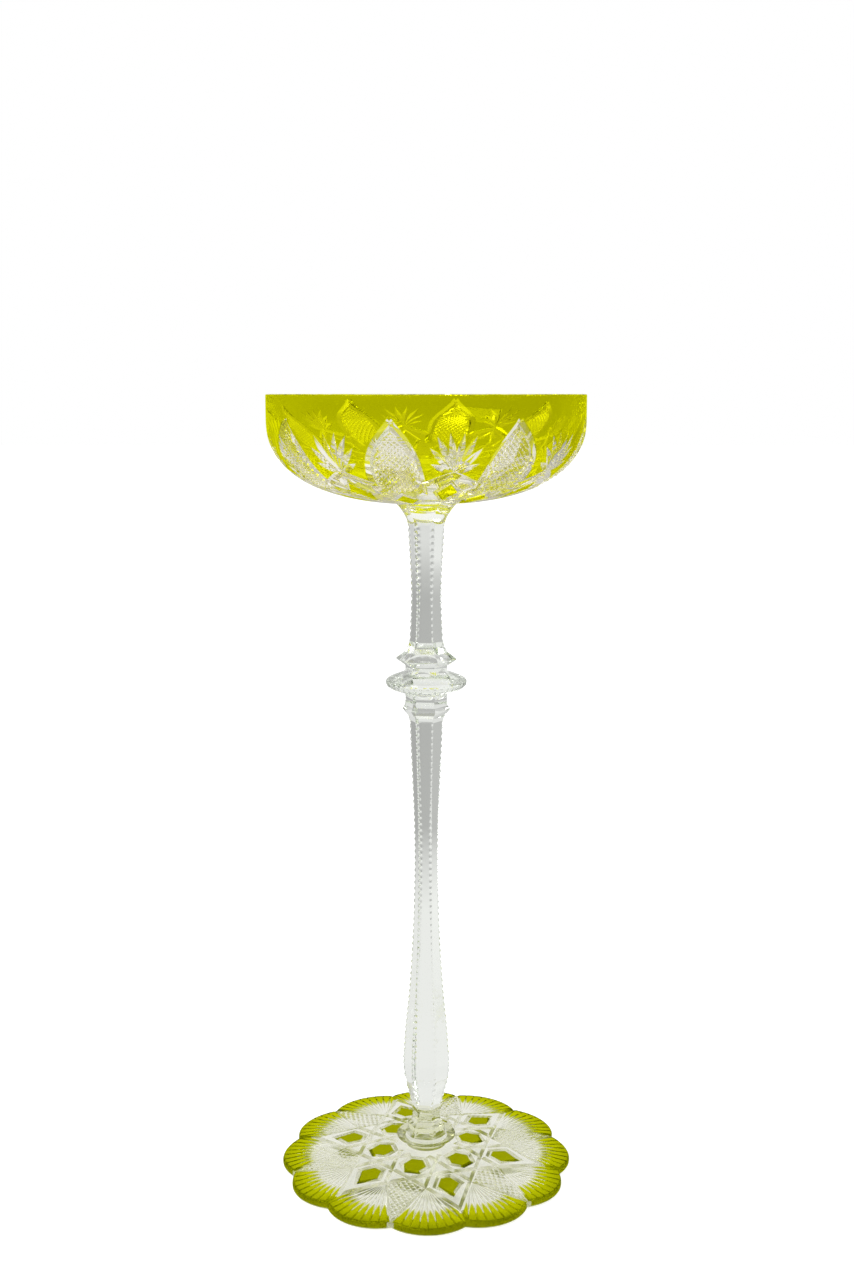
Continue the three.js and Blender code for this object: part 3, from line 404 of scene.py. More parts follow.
def v_groove(points, normals, depths, half_angle, lift=LIFT, closed=False):
    """A wedge that is swept along a path and cuts a V-shaped groove of the given depths."""
    depths = np.broadcast_to(np.asarray(depths, float), len(points))
    steps = np.roll(points, -1, axis=0) - points
    sides = np.cross(steps, normals)
    sides /= np.linalg.norm(sides, axis=1, keepdims=True)
    before = np.roll(sides, 1, axis=0)
    if not closed:
        sides[-1] = before[-1]
        before[0] = sides[0]
    mitres = (sides + before) / (1 + np.sum(sides * before, axis=1, keepdims=True))
    widths = (depths + lift) * math.tan(math.radians(half_angle))
    bottom = points - normals * depths[:, None]
    top = points + normals * lift
    rings = np.stack([bottom, top + mitres * widths[:, None], top - mitres * widths[:, None]], axis=1)
    count = len(points)
    faces = []
    for i in range(count if closed else count - 1):
        low, high = 3 * i, 3 * ((i + 1) % count)
        for corner in range(3):
            after = (corner + 1) % 3
            faces.append((low + corner, high + corner, high + after, low + after))
    if not closed:
        last = 3 * (count - 1)
        faces.append((0, 1, 2))
        faces.append((last, last + 2, last + 1))
    return rings.reshape(-1, 3), faces


def carved(piece, cutters):
    """Cuts a piece's mesh by closed cutters, each given as points and faces."""
    collection = bpy.data.collections.new("cutters")
    bpy.context.scene.collection.children.link(collection)
    tools = []
    for points, faces in cutters:
        tool = new_object("cutter", points, faces)
        bpy.context.scene.collection.objects.unlink(tool)
        collection.objects.link(tool)
        tools.append(tool)
    cut = piece.modifiers.new("cut", "BOOLEAN")
    cut.operation = "DIFFERENCE"
    cut.operand_type = "COLLECTION"
    cut.collection = collection
    cut.solver = "MANIFOLD"
    graph = bpy.context.evaluated_depsgraph_get()
    mesh = bpy.data.meshes.new_from_object(piece.evaluated_get(graph))
    piece.modifiers.clear()
    blank = piece.data
    piece.data = mesh
    bpy.data.meshes.remove(blank)
    for tool in tools:
        bpy.data.meshes.remove(tool.data)
    bpy.data.collections.remove(collection)


def finish_piece(piece, nodes, sharp_angle):
    """Shades a piece with sharp cut edges and puts it in the place of CAD nodes."""
    piece.data.shade_smooth()
    piece.data.set_sharp_from_angle(angle=math.radians(sharp_angle))
    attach(piece, "root")
    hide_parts(*nodes)


def mesh_points(piece):
    """A piece's points, in millimetres."""
    points = np.empty(3 * len(piece.data.vertices))
    piece.data.vertices.foreach_get("co", points)
    return points.reshape(-1, 3) / MM


def store_depth(piece, depths):
    """Keeps the cut depths that cased glass takes its colour from, with painted shade stored as values below
    zero.
    """
    attribute = piece.data.attributes.new("cut_depth_and_shade", "FLOAT", "POINT")
    attribute.data.foreach_set("value", np.asarray(depths, np.float32))


# Materials

def crystal_material(name, colour):
    """Clear polished glass."""
    material = bpy.data.materials.new(name)
    material.use_nodes = True
    nodes = material.node_tree.nodes
    nodes.clear()
    glass = nodes.new("ShaderNodeBsdfGlass")
    glass.inputs["Color"].default_value = colour
    glass.inputs["Roughness"].default_value = 0
    glass.inputs["IOR"].default_value = CRYSTAL_IOR
    output = nodes.new("ShaderNodeOutputMaterial")
    material.node_tree.links.new(glass.outputs["BSDF"], output.inputs["Surface"])
    return material


def map_range(nodes, span, ends, interpolation="LINEAR"):
    """A node that maps a span of values onto another and holds its ends."""
    node = nodes.new("ShaderNodeMapRange")
    node.interpolation_type = interpolation
    node.inputs["From Min"].default_value = span[0]
    node.inputs["From Max"].default_value = span[1]
    node.inputs["To Min"].default_value = ends[0]
    node.inputs["To Max"].default_value = ends[1]
    return node


def cased_material(name, shade_colour, casing_colour, clear_colour):
    """Crystal that is coloured where the cutting left the casing on its surface, and darkened by painted
    shade where the stored depth lies below zero.
    """
    material = crystal_material(name, clear_colour)
    nodes, links = material.node_tree.nodes, material.node_tree.links
    depth = nodes.new("ShaderNodeAttribute")
    depth.attribute_name = "cut_depth_and_shade"
    # Painted shade: values below zero mix the casing colour towards the shade colour
    shade_fade = map_range(nodes, (FULL_SHADE, 0), (0, 1))
    casing = nodes.new("ShaderNodeMix")
    casing.data_type = "RGBA"
    casing.inputs[MIX_FIRST].default_value = shade_colour
    casing.inputs[MIX_SECOND].default_value = casing_colour
    fading = map_range(nodes, CASING, (0, 1))
    colour = nodes.new("ShaderNodeMix")
    colour.data_type = "RGBA"
    colour.inputs[MIX_SECOND].default_value = clear_colour
    frost = map_range(nodes, (CLEAR, FROSTED), (0, FROST_ROUGHNESS))
    glass = nodes["Glass BSDF"]
    links.new(depth.outputs["Fac"], shade_fade.inputs["Value"])
    links.new(shade_fade.outputs["Result"], casing.inputs["Factor"])
    links.new(casing.outputs[MIX_RESULT], colour.inputs[MIX_FIRST])
    links.new(depth.outputs["Fac"], fading.inputs["Value"])
    links.new(fading.outputs["Result"], colour.inputs["Factor"])
    links.new(colour.outputs[MIX_RESULT], glass.inputs["Color"])
    links.new(depth.outputs["Fac"], frost.inputs["Value"])
    links.new(frost.outputs["Result"], glass.inputs["Roughness"])
    return material


def ground_material():
    """The underside of the foot, which was ground flat and left dull."""
    material = crystal_material("ground_crystal", CRYSTAL_COLOUR)
    material.node_tree.nodes["Glass BSDF"].inputs["Roughness"].default_value = GROUND_ROUGHNESS
    return material


def joint_material():
    """The fused joint between two gathers, which light crosses unbent."""
    material = bpy.data.materials.new("fused_joint")
    material.use_nodes = True
    nodes = material.node_tree.nodes
    nodes.clear()
    clear = nodes.new("ShaderNodeBsdfTransparent")
    output = nodes.new("ShaderNodeOutputMaterial")
    material.node_tree.links.new(clear.outputs["BSDF"], output.inputs["Surface"])
    return material


# Foot

def foot_blank(materials):
    """The foot before cutting, with a joint in its middle where the button sits."""
    count = FOOT_LOBES * LOBE_SEGMENTS
    degrees = FOOT_TURN + np.arange(count) * 360 / count
    edge = lobe_edge(from_lobe_middle(degrees))
    rounding = FOOT_ROUND * (1 - np.cos(np.radians(FOOT_ROUND_ANGLES)))
    drops = FOOT_ROUND * (1 - np.sin(np.radians(FOOT_ROUND_ANGLES)))
    rings = []
    for inset, drop in zip(rounding, drops):
        rings.append(ring(edge - inset, degrees, drop))
    rings.reverse()
    for inset, drop in zip(rounding, drops):
        radius = edge - inset
        rings.append(ring(radius, degrees, foot_top(radius) - drop))
    for step in range(1, FOOT_RINGS + 1):
        radius = (edge - FOOT_ROUND) + (BUTTON_SEAT_RADIUS - edge + FOOT_ROUND) * step / FOOT_RINGS
        rings.append(ring(radius, degrees, foot_top(radius)))
    points, faces = stacked(rings)
    piece = new_object("foot", points, faces, materials)
    piece.data.polygons[TOP_FACE].material_index = JOINT
    piece.data.polygons[BOTTOM_FACE].material_index = GROUND
    return piece


def straight(start, end, depths, half_angle, degrees, step=GROOVE_STEP):
    """A groove in a straight line of the plan between two (outwards, across) points."""
    length = math.dist(start, end)
    shares = np.linspace(0, 1, max(2, math.ceil(length / step) + 1))
    outwards = start[0] + (end[0] - start[0]) * shares
    across = start[1] + (end[1] - start[1]) * shares
    points, normals = foot_surface(outwards, across, degrees)
    if isinstance(depths, tuple):
        depths = np.interp(shares * length, *zip(*depths))
    return v_groove(points, normals, depths, half_angle)


def frame_corners(outline, bevel):
    """Corners of the groove round an island."""
    corners = np.asarray(outline)
    middle = corners.mean(axis=0)
    spread = np.linalg.norm(corners - middle, axis=1, keepdims=True)
    return middle + (corners - middle) * (spread + bevel) / spread


def frame_groove(corners, degrees):
    """The groove that leaves an island standing with bevelled sides."""
    points, normals = foot_surface(corners[:, 0], corners[:, 1], degrees)
    return v_groove(points, normals, BEVEL_DEPTH, BEVEL_ANGLE, closed=True)


def hexagon_outline():
    """An island in the middle of a cell between the straps."""
    centre = 2 * STRAP_PITCH / math.sqrt(3)
    angles = np.radians(np.arange(STAR_POINTS) * STAR_STEP + STAR_STEP / 2)
    return np.stack([centre + HEXAGON_RADIUS * np.cos(angles), HEXAGON_RADIUS * np.sin(angles)], axis=1)


def inside_convex(x, y, outline):
    """Whether points lie inside a convex outline that runs anticlockwise."""
    result = np.ones(len(x), bool)
    for (x0, y0), (x1, y1) in zip(outline, np.roll(outline, -1, axis=0)):
        result &= (x1 - x0) * (y - y0) - (y1 - y0) * (x - x0) >= -INSIDE_TOLERANCE
    return result


def strap_cutters():
    """The lattice of straps, square to the axes of the star, and the grooves at the star's tips."""
    cutters = []
    for i in range(STAR_POINTS):
        axis = FOOT_TURN + STAR_STEP * i
        far = STAR_TIP * math.sin(math.radians(STAR_STEP))
        cutters.append(straight((OUTER_STRAP, -far), (OUTER_STRAP, far), STRAP_DEPTH, GROOVE_ANGLE, axis))
        near = KITE_CORNER[0]
        for low, high in ((-near, -STRAP_START), (STRAP_START, near)):
            start, end = (INNER_STRAP, low), (INNER_STRAP, high)
            cutters.append(straight(start, end, STRAP_DEPTH, GROOVE_ANGLE, axis))
        start, end = NOTCH_GROOVE_ENDS
        cutters.append(straight((start, 0), (end, 0), NOTCH_GROOVE, GROOVE_ANGLE, axis))
    return cutters


def kite_outline():
    """Corners of a kite between two fans, anticlockwise."""
    corner, across = KITE_CORNER
    return np.array([(KITE_INNER, 0), (corner, -across), (CUSP_RADIUS, 0), (corner, across)])


def kite_cutters(axis):
    """A kite between two fans: its outline, and two sets of crossing grooves inside it."""
    corner, across = KITE_CORNER
    cutters = []
    for side in (-1, 1):
        cutters.append(straight((corner, side * across), (KITE_TIP, 0), KITE_SIDE_DEPTH, GROOVE_ANGLE, axis))
    middle = kite_outline().mean(axis=0)
    outline = middle + (kite_outline() - middle) * KITE_FILL
    slant = math.radians(KITE_SLANT)
    for side in (-1, 1):
        along = np.array([math.cos(slant), side * math.sin(slant)])
        square = np.array([-along[1], along[0]])
        offsets = (outline - middle) @ square
        for offset in np.arange(offsets.min() + KITE_PITCH / 2, offsets.max(), KITE_PITCH):
            span = clipped_line(middle + square * offset, along, outline)
            if span is not None:
                start, end = span
                cutters.append(straight(start, end, KITE_DEPTH, KITE_ANGLE, axis, KITE_STEP))
    return cutters


def clipped_line(point, direction, outline):
    """The ends of a line inside a convex outline that runs anticlockwise, or None if they lie too close."""
    low, high = -math.inf, math.inf
    for corner, after in zip(outline, np.roll(outline, -1, axis=0)):
        edge = after - corner
        inwards = np.array([-edge[1], edge[0]])
        speed = direction @ inwards
        room = (point - corner) @ inwards
        if speed > 0:
            low = max(low, -room / speed)
        elif speed < 0:
            high = min(high, -room / speed)
    if high - low < SHORTEST_GROOVE:
        return None
    return point + direction * low, point + direction * high


def fan_cutters(axis, side):
    """The flutes of a fan, which spread from a corner of the star over one lobe."""
    apex = np.array([FAN_APEX[0], side * FAN_APEX[1]])
    cutters = []
    for flute in range(FAN_FLUTES):
        angle = math.radians(side * FAN_TURN + FAN_SPREAD * (2 * flute / (FAN_FLUTES - 1) - 1))
        end = apex + FAN_REACH * np.array([math.cos(angle), math.sin(angle)])
        cutters.append(straight(apex, end, FLUTE_COURSE, FLUTE_ANGLE, axis))
        cutters.append(straight(apex, end, FLUTE_LINE_COURSE, FLUTE_LINE_ANGLE, axis))
    return cutters


def foot_depth_and_shade(points):
    """Cut depths of the foot, with the ground all clear except for the islands and lobes of casing, which
    carry painted shade as values below zero.
    """
    depths = foot_depth(points)
    radius = np.hypot(points[:, 0], points[:, 1])
    inner = radius < CLEAR_RADIUS
    tip_angle = np.radians(from_axis(plan_angles(points), FOOT_TURN, STAR_STEP))
    by_tip = radius * np.cos(tip_angle), radius * np.sin(tip_angle)
    kite_angle = np.radians(from_axis(plan_angles(points), FOOT_TURN + STAR_STEP / 2, STAR_STEP))
    by_kite = radius * np.cos(kite_angle), radius * np.sin(kite_angle)
    island = inside_convex(*by_tip, frame_corners(LOZENGE, LOZENGE_BEVEL))
    island |= inside_convex(*by_kite, frame_corners(hexagon_outline(), HEXAGON_BEVEL))
    kite = inside_convex(*by_kite, kite_outline())
    star = radius * np.cos(np.abs(tip_angle) - math.radians(STAR_STEP)) < OUTER_STRAP
    apex_distance = np.hypot(by_tip[0] - FAN_APEX[0], np.abs(by_tip[1]) - FAN_APEX[1])
    lobe = apex_distance > LOBE_START
    # Painted shade on the lobes, darker towards their rims
    depths[lobe] = FULL_SHADE * np.interp(apex_distance[lobe], *LOBE_SHADE)
    depths[~island] += np.interp(apex_distance[~island], *LOBE_FADE)
    depths[(inner | kite | star) & ~island] = CLEAR
    # Painted shade on the islands: part of it on their tops, all of it on their sides
    depths[island] = FULL_SHADE * np.interp(depths[island], (0, BEVEL_DEPTH), (FOOT_ISLAND_SHADE, 1))
    depths[points[:, 2] < UNDERSIDE] = CLEAR
    return depths


def foot(materials):
    """The foot, which stands for its crystal and for all the casing on it."""
    piece = foot_blank(materials)
    cutters = strap_cutters()
    for i in range(STAR_POINTS):
        axis = FOOT_TURN + STAR_STEP * i
        kite_axis = axis + STAR_STEP / 2
        cutters.append(frame_groove(frame_corners(LOZENGE, LOZENGE_BEVEL), axis))
        cutters.append(frame_groove(frame_corners(hexagon_outline(), HEXAGON_BEVEL), kite_axis))
        cutters += kite_cutters(kite_axis)
        cutters += fan_cutters(axis, -1)
        cutters += fan_cutters(axis, 1)
    carved(piece, cutters)
    store_depth(piece, foot_depth_and_shade(mesh_points(piece)))
    nodes = [name for name in NODES if name.startswith("foot_") and name not in ("foot_button", "foot_stub")]
    finish_piece(piece, nodes, CUT_SHARPNESS)


# Stem

def section_angles():
    """Angles of a hexagon's points, which crowd towards its corners."""
    angles = []
    for corner in range(0, 360, HEXAGON_CORNER):
        angles += [corner - a for a in CORNER_ANGLES[:0:-1]]
        angles += [corner + a for a in CORNER_ANGLES]
        angles.append(corner + HEXAGON_CORNER / 2)
    return np.array(angles)


def section(height, radius, roundness=0.0, notch=0.0, angles=None):
    """A level section of the stem: a hexagon, a circle or between them, with notched corners if asked."""
    angles = section_angles() if angles is None else angles
    from_corner = (angles + HEXAGON_CORNER / 2) % HEXAGON_CORNER - HEXAGON_CORNER / 2
    from_middle = np.radians(np.abs(from_corner) - HEXAGON_CORNER / 2)
    flat = math.cos(math.radians(HEXAGON_CORNER / 2)) / np.cos(from_middle)
    reach = radius * (flat + roundness * (1 - flat))
    if notch:
        reach = np.minimum(reach, (radius - notch) / np.cos(np.radians(from_corner)))
    return ring(reach, angles + STEM_TURN, height)


def spline(stations, heights):
    """Radii on a smooth curve through (height, radius) stations."""
    knots, radii = (np.array(column, float) for column in zip(*stations))
    slopes = np.gradient(radii, knots)
    i = np.clip(np.searchsorted(knots, heights) - 1, 0, len(knots) - 2)
    gap = knots[i + 1] - knots[i]
    t = (heights - knots[i]) / gap
    return ((2 * t ** 3 - 3 * t ** 2 + 1) * radii[i] + (t ** 3 - 2 * t ** 2 + t) * gap * slopes[i]
            + (3 * t ** 2 - 2 * t ** 3) * radii[i + 1] + (t ** 3 - t ** 2) * gap * slopes[i + 1])


def stem_piece(name, rings, materials):
    """A solid through sections, whose two end faces are fused joints."""
    points, faces = stacked(rings)
    piece = new_object(name, points, faces, materials)
    for face in (BOTTOM_FACE, TOP_FACE):
        piece.data.polygons[face].material_index = JOINT
    finish_piece(piece, [name], STEM_SHARPNESS)


def notched_stem(name, stations, materials):
    """A hexagonal length of the stem, whose corners are notched all the way up."""
    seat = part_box(name)[0].z / MM
    length = stations[-1][0]
    count = round(length / NOTCH_PITCH)
    pitch = length / count
    rings = [section(seat, stations[0][1])]
    for row in range(count):
        middle = (row + 0.5) * pitch
        for offset, depth in ((-NOTCH_SHARE, 0), (0, NOTCH_DEPTH), (NOTCH_SHARE, 0)):
            height = middle + offset * pitch
            rings.append(section(seat + height, spline(stations, height), 0, depth))
    rings.append(section(seat + length, stations[-1][1]))
    stem_piece(name, rings, materials)


def foot_button(materials):
    """A round button with a sharp edge, a hollow below it and a hexagonal block on its top."""
    low = foot_top(BUTTON_SEAT_RADIUS)
    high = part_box("foot_button")[1].z / MM
    rings = [section(low + height, radius, roundness) for height, radius, roundness in BUTTON]
    rings.append(section(high, STUB[0][1]))
    stem_piece("foot_button", rings, materials)


def foot_stub(materials):
    """A short plain hexagon with a slight waist."""
    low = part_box("foot_stub")[0].z / MM
    rings = [section(low + height, radius) for height, radius in STUB]
    stem_piece("foot_stub", rings, materials)


def lower_ring(materials):
    """A sharp hexagonal ring, hollow below and above its edge."""
    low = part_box("lower_ring")[0].z / MM
    rings = [section(low + height, radius) for height, radius in LOWER_RING]
    stem_piece("lower_ring", rings, materials)


def knop_disc(materials):
    """A round disc between two hexagonal necks, with hollow flutes cut in its underside."""
    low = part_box("knop_disc")[0].z / MM
    count = DISC_FLUTES * DISC_FLUTE_POINTS
    angles = np.arange(count) * 360 / count
    rings = []
    for height, radius, roundness, fluting in DISC:
        level = section(low + height, radius, roundness, 0, angles)
        bite = DISC_FLUTE_DEPTH * fluting * np.abs(np.sin(np.radians(angles * DISC_FLUTES / 2)))
        level[:, :2] *= (1 - bite / radius)[:, None]
        rings.append(level)
    stem_piece("knop_disc", rings, materials)


def upper_ring(materials):
    """A hexagonal ring with slightly bowed sides, hollow below and above its edge."""
    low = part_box("upper_ring")[0].z / MM
    rings = []
    for height, radius in UPPER_RING:
        share = (radius - NECK_RADIUS) / (UPPER_RING_RADIUS - NECK_RADIUS)
        rings.append(section(low + height, radius, UPPER_RING_ROUND * max(0, share)))
    stem_piece("upper_ring", rings, materials)


def bowl_collar(materials):
    """A flare from the hexagonal stem to the round joint under the bowl."""
    low, high = (corner.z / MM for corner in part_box("bowl_collar"))
    start = UPPER_STEM[-1][1]
    rings = []
    for share in np.linspace(0, 1, COLLAR_RINGS):
        radius = start + (COLLAR_RADIUS - start) * share ** COLLAR_POWER
        rings.append(section(low + (high - low) * share, radius, share))
    stem_piece("bowl_collar", rings, materials)


# Bowl

def bowl_blank(materials):
    """The bowl before cutting, with a joint in the middle of its underside."""
    degrees = BOWL_TURN + np.arange(BOWL_SEGMENTS) * 360 / BOWL_SEGMENTS
    profile = [(COLLAR_RADIUS, BOWL_HEIGHT)]
    profile += [(radius, BOWL_HEIGHT) for radius in BOTTOM_RINGS]
    bottom = math.asin(((BOWL_HEIGHT - WALL_STRAIGHT) / BOWL_CURVE) ** (OUTER_POWER / 2))
    for t in np.linspace(bottom, 0, BOWL_RINGS):
        depth = WALL_STRAIGHT + BOWL_CURVE * math.sin(t) ** (2 / OUTER_POWER)
        profile.append((float(bowl_radius(depth)), depth))
    profile += [(RIM_RADIUS, depth) for depth in WALL_RINGS]
    for turn in RIM_ANGLES:
        angle = math.radians(turn)
        profile.append((RIM_RADIUS - RIM_ROUND * (1 - math.cos(angle)), RIM_ROUND * (1 - math.sin(angle))))
    for turn in reversed(RIM_ANGLES):
        angle = math.radians(turn)
        inner = RIM_RADIUS - RIM_WALL + RIM_ROUND * (1 - math.cos(angle))
        profile.append((inner, RIM_ROUND * (1 - math.sin(angle))))
    for t in np.linspace(INNER_START, math.pi / 2, BOWL_RINGS)[:-1]:
        share = math.sin(t) ** (2 / INNER_POWER)
        depth = RIM_ROUND + (INNER_DEPTH - RIM_ROUND) * share
        wall = RIM_RADIUS - RIM_WALL - INNER_TAPER * depth
        profile.append((wall * (1 - share ** INNER_POWER) ** (1 / INNER_POWER), depth))
    points, faces = stacked([ring(radius, degrees, RIM_HEIGHT - depth) for radius, depth in profile])
    piece = new_object("bowl", points, faces, materials)
    piece.data.polygons[BOTTOM_FACE].material_index = JOINT
    return piece


def arch_half_angle(depth):
    """Half of the plan angle that an arch takes up at a depth."""
    below = np.clip((np.asarray(depth, float) - ARCH_PEAK) / ARCH_ROUND, 0, None)
    return ARCH_SPREAD * (1 - np.exp(-below ** ARCH_POINT))


def bowl_groove(axis, across, depth, depths, half_angle, lift=LIFT):
    """A groove along widths across a motif and depths below the rim."""
    degrees = axis + np.degrees(np.asarray(across) / bowl_radius(np.asarray(depth, float)))
    points, normals = bowl_surface(degrees, depth)
    return v_groove(points, normals, depths, half_angle, lift)


def arch_cutters(axis):
    """A pointed arch: its mitred outline, and two sets of crossing grooves inside it."""
    cutters = []
    upper = np.linspace(ARCH_PEAK - ARCH_OVERRUN, ARCH_SHOULDER, ARCH_UPPER_POINTS)
    lower = np.linspace(ARCH_LOWER_START, ARCH_LOWER_END, ARCH_LOWER_POINTS)
    depth = np.concatenate([upper, lower])
    for side in (-1, 1):
        across = side * np.radians(arch_half_angle(depth)) * bowl_radius(depth)
        across[0] = -side * ARCH_OVERRUN
        cutters.append(bowl_groove(axis, across, depth, ARCH_MITRE, ARCH_MITRE_ANGLE))
    slant = math.radians(DIAMOND_SLANT)
    pitch = DIAMOND_PITCH / math.cos(slant)
    width = np.linspace(-ARCH_HALF_WIDTH, ARCH_HALF_WIDTH, DIAMOND_POINTS)
    for side in (-1, 1):
        for offset in np.arange(-ARCH_HALF_WIDTH, ARCH_BASE + ARCH_HALF_WIDTH, pitch):
            depth = offset + math.tan(slant) * side * width
            limit = np.radians(arch_half_angle(depth)) * bowl_radius(depth) - ARCH_FIELD_INSET
            inside = (np.abs(width) < limit) & (depth < ARCH_BASE) & (depth > ARCH_PEAK)
            if inside.sum() < FEWEST_POINTS:
                continue
            course = width[inside], depth[inside]
            cutters.append(bowl_groove(axis, *course, DIAMOND_DEPTH, DIAMOND_ANGLE, FINE_LIFT))
    return cutters


def ray(axis, angle, length):
    """A pointed cut that leaves a hub at an angle from the upright and dies out at its tip."""
    shares = np.linspace(0, 1, RAY_POINTS)
    across = length * shares * math.sin(math.radians(angle))
    depth = FAN_HUB - length * shares * math.cos(math.radians(angle))
    depths = RAY_DEPTH * np.interp(shares, *zip(*RAY_COURSE))
    return bowl_groove(axis, across, depth, depths, RAY_ANGLE)


def strap_depth(across):
    """Depth below the rim of the straps that fall away from a hub."""
    return FAN_HUB + STRAP_FALL * np.abs(across)


def fan_and_strap_cutters(axis):
    """The rays of a fan and the two straps that fall away from its hub."""
    cutters = []
    for angle, length in FAN_RAYS:
        for side in (-1, 1):
            cutters.append(ray(axis, side * angle, length))
    for side in (-1, 1):
        across = side * np.linspace(-STRAP_OVERRUN, BOWL_STRAP_LENGTH, BOWL_STRAP_POINTS)
        cutters.append(bowl_groove(axis, across, strap_depth(across), BOWL_STRAP_DEPTH, BOWL_STRAP_ANGLE))
    return cutters


def lozenge_groove(axis, lozenge):
    """The groove that leaves a lozenge of casing standing."""
    middle, half_height, half_width = lozenge
    width = half_width + LOZENGE_GROWTH
    height = half_height + LOZENGE_GROWTH
    across = divided([0, width, 0, -width])
    depth = divided([middle + height, middle, middle - height, middle])
    degrees = axis + np.degrees(across / bowl_radius(depth))
    points, normals = bowl_surface(degrees, np.minimum(depth, LOWEST_CUT))
    return v_groove(points, normals, LOZENGE_GROOVE, LOZENGE_ANGLE, FINE_LIFT, closed=True)


def divided(corners):
    """Values on the way round a closed outline, in even steps from each corner to the next."""
    shares = np.arange(LOZENGE_STEPS) / LOZENGE_STEPS
    return np.concatenate([a + (b - a) * shares for a, b in zip(corners, np.roll(corners, -1))])


def in_lozenge(across, depth, lozenge):
    """Whether points of the bowl lie inside the groove round a lozenge."""
    middle, half_height, half_width = lozenge
    width = half_width + LOZENGE_GROWTH
    height = half_height + LOZENGE_GROWTH
    return np.abs(across) / width + np.abs(depth - middle) / height < 1


def bowl_depth_and_shade(points):
    """Cut depths of the bowl, with the glass below the straps clear except for the lozenges, whose sides
    carry painted shade as values below zero.
    """
    depths = np.minimum(bowl_depth(points), CLEAR)
    outside = depths < DEEPEST_CUT
    depth = RIM_HEIGHT - points[:, 2]
    radius = bowl_radius(depth)
    from_arch = from_axis(plan_angles(points), BOWL_TURN, ARCH_STEP)
    from_fan = from_axis(plan_angles(points), BOWL_TURN + ARCH_STEP / 2, ARCH_STEP)
    across_arch = np.radians(from_arch) * radius
    across_fan = np.radians(from_fan) * radius
    in_arch = outside & (np.abs(from_arch) < arch_half_angle(depth)) & (depth > ARCH_PEAK)
    below = depth > strap_depth(across_fan)
    island = in_lozenge(across_fan, depth, HUB_LOZENGE) | in_lozenge(across_arch, depth, BASE_LOZENGE)
    island &= outside & (depth < LOWEST_CUT)
    depths[below & ~island] = CLEAR
    depths[in_arch & ~island] = FROSTED
    # Painted shade on the lozenges, growing with the depth of the groove round them
    depths[island] = FULL_SHADE * np.clip(depths[island] / LOZENGE_GROOVE, 0, 1)
    return depths


def bowl(materials):
    """The bowl, which stands for its crystal and for all the casing on it."""
    piece = bowl_blank(materials)
    cutters = []
    for i in range(ARCHES):
        arch_axis = BOWL_TURN + ARCH_STEP * i
        fan_axis = arch_axis + ARCH_STEP / 2
        cutters += arch_cutters(arch_axis)
        cutters += fan_and_strap_cutters(fan_axis)
        cutters.append(lozenge_groove(fan_axis, HUB_LOZENGE))
        cutters.append(lozenge_groove(arch_axis, BASE_LOZENGE))
    carved(piece, cutters)
    store_depth(piece, bowl_depth_and_shade(mesh_points(piece)))
    nodes = [name for name in NODES if name.startswith("bowl_") and name != "bowl_collar"]
    finish_piece(piece, nodes, CUT_SHARPNESS)


# Stage

def stage():
    """The floor, which reaches far beyond the picture."""
    size = FLOOR_SIZE
    corners = [(-size, -size), (size, -size), (size, size), (-size, size)]
    points = np.array([(x, y, FLOOR_LEVEL) for x, y in corners])
    floor = new_object("floor", points, [(0, 1, 2, 3)], [floor_material()])


def floor_material():
    """A white table. The glass sees it darken away from the coupe and brighten again far off."""
    material = bpy.data.materials.new("white_floor")
    material.use_nodes = True
    nodes, links = material.node_tree.nodes, material.node_tree.links
    nodes.clear()
    own = nodes.new("ShaderNodeEmission")
    own.inputs["Strength"].default_value = FLOOR_GLOW
    lit = nodes.new("ShaderNodeBsdfDiffuse")
    lit.inputs["Color"].default_value = FLOOR_COLOUR
    direct = nodes.new("ShaderNodeAddShader")
    place = nodes.new("ShaderNodeNewGeometry")
    distance = nodes.new("ShaderNodeVectorMath")
    distance.operation = "LENGTH"
    fading = map_range(nodes, *FLOOR_FADE)
    rising = map_range(nodes, *FLOOR_RISE)
    brightness = nodes.new("ShaderNodeMath")
    brightness.operation = "ADD"
    axes = nodes.new("ShaderNodeSeparateXYZ")
    slant = map_range(nodes, *FLOOR_SLANT)
    slanted = nodes.new("ShaderNodeMath")
    slanted.operation = "MULTIPLY"
    through = nodes.new("ShaderNodeEmission")
    path = nodes.new("ShaderNodeLightPath")
    chosen = nodes.new("ShaderNodeMixShader")
    output = nodes.new("ShaderNodeOutputMaterial")
    links.new(own.outputs["Emission"], direct.inputs[0])
    links.new(lit.outputs["BSDF"], direct.inputs[1])
    links.new(place.outputs["Position"], distance.inputs[0])
    links.new(distance.outputs["Value"], fading.inputs["Value"])
    links.new(distance.outputs["Value"], rising.inputs["Value"])
    links.new(fading.outputs["Result"], brightness.inputs[0])
    links.new(rising.outputs["Result"], brightness.inputs[1])
    links.new(place.outputs["Position"], axes.inputs["Vector"])
    links.new(axes.outputs["X"], slant.inputs["Value"])
    links.new(brightness.outputs["Value"], slanted.inputs[0])
    links.new(slant.outputs["Result"], slanted.inputs[1])
    links.new(slanted.outputs["Value"], through.inputs["Strength"])
    links.new(path.outputs["Is Camera Ray"], chosen.inputs["Fac"])
    links.new(through.outputs["Emission"], chosen.inputs[1])
    links.new(direct.outputs["Shader"], chosen.inputs[2])
    links.new(chosen.outputs["Shader"], output.inputs["Surface"])
    return material


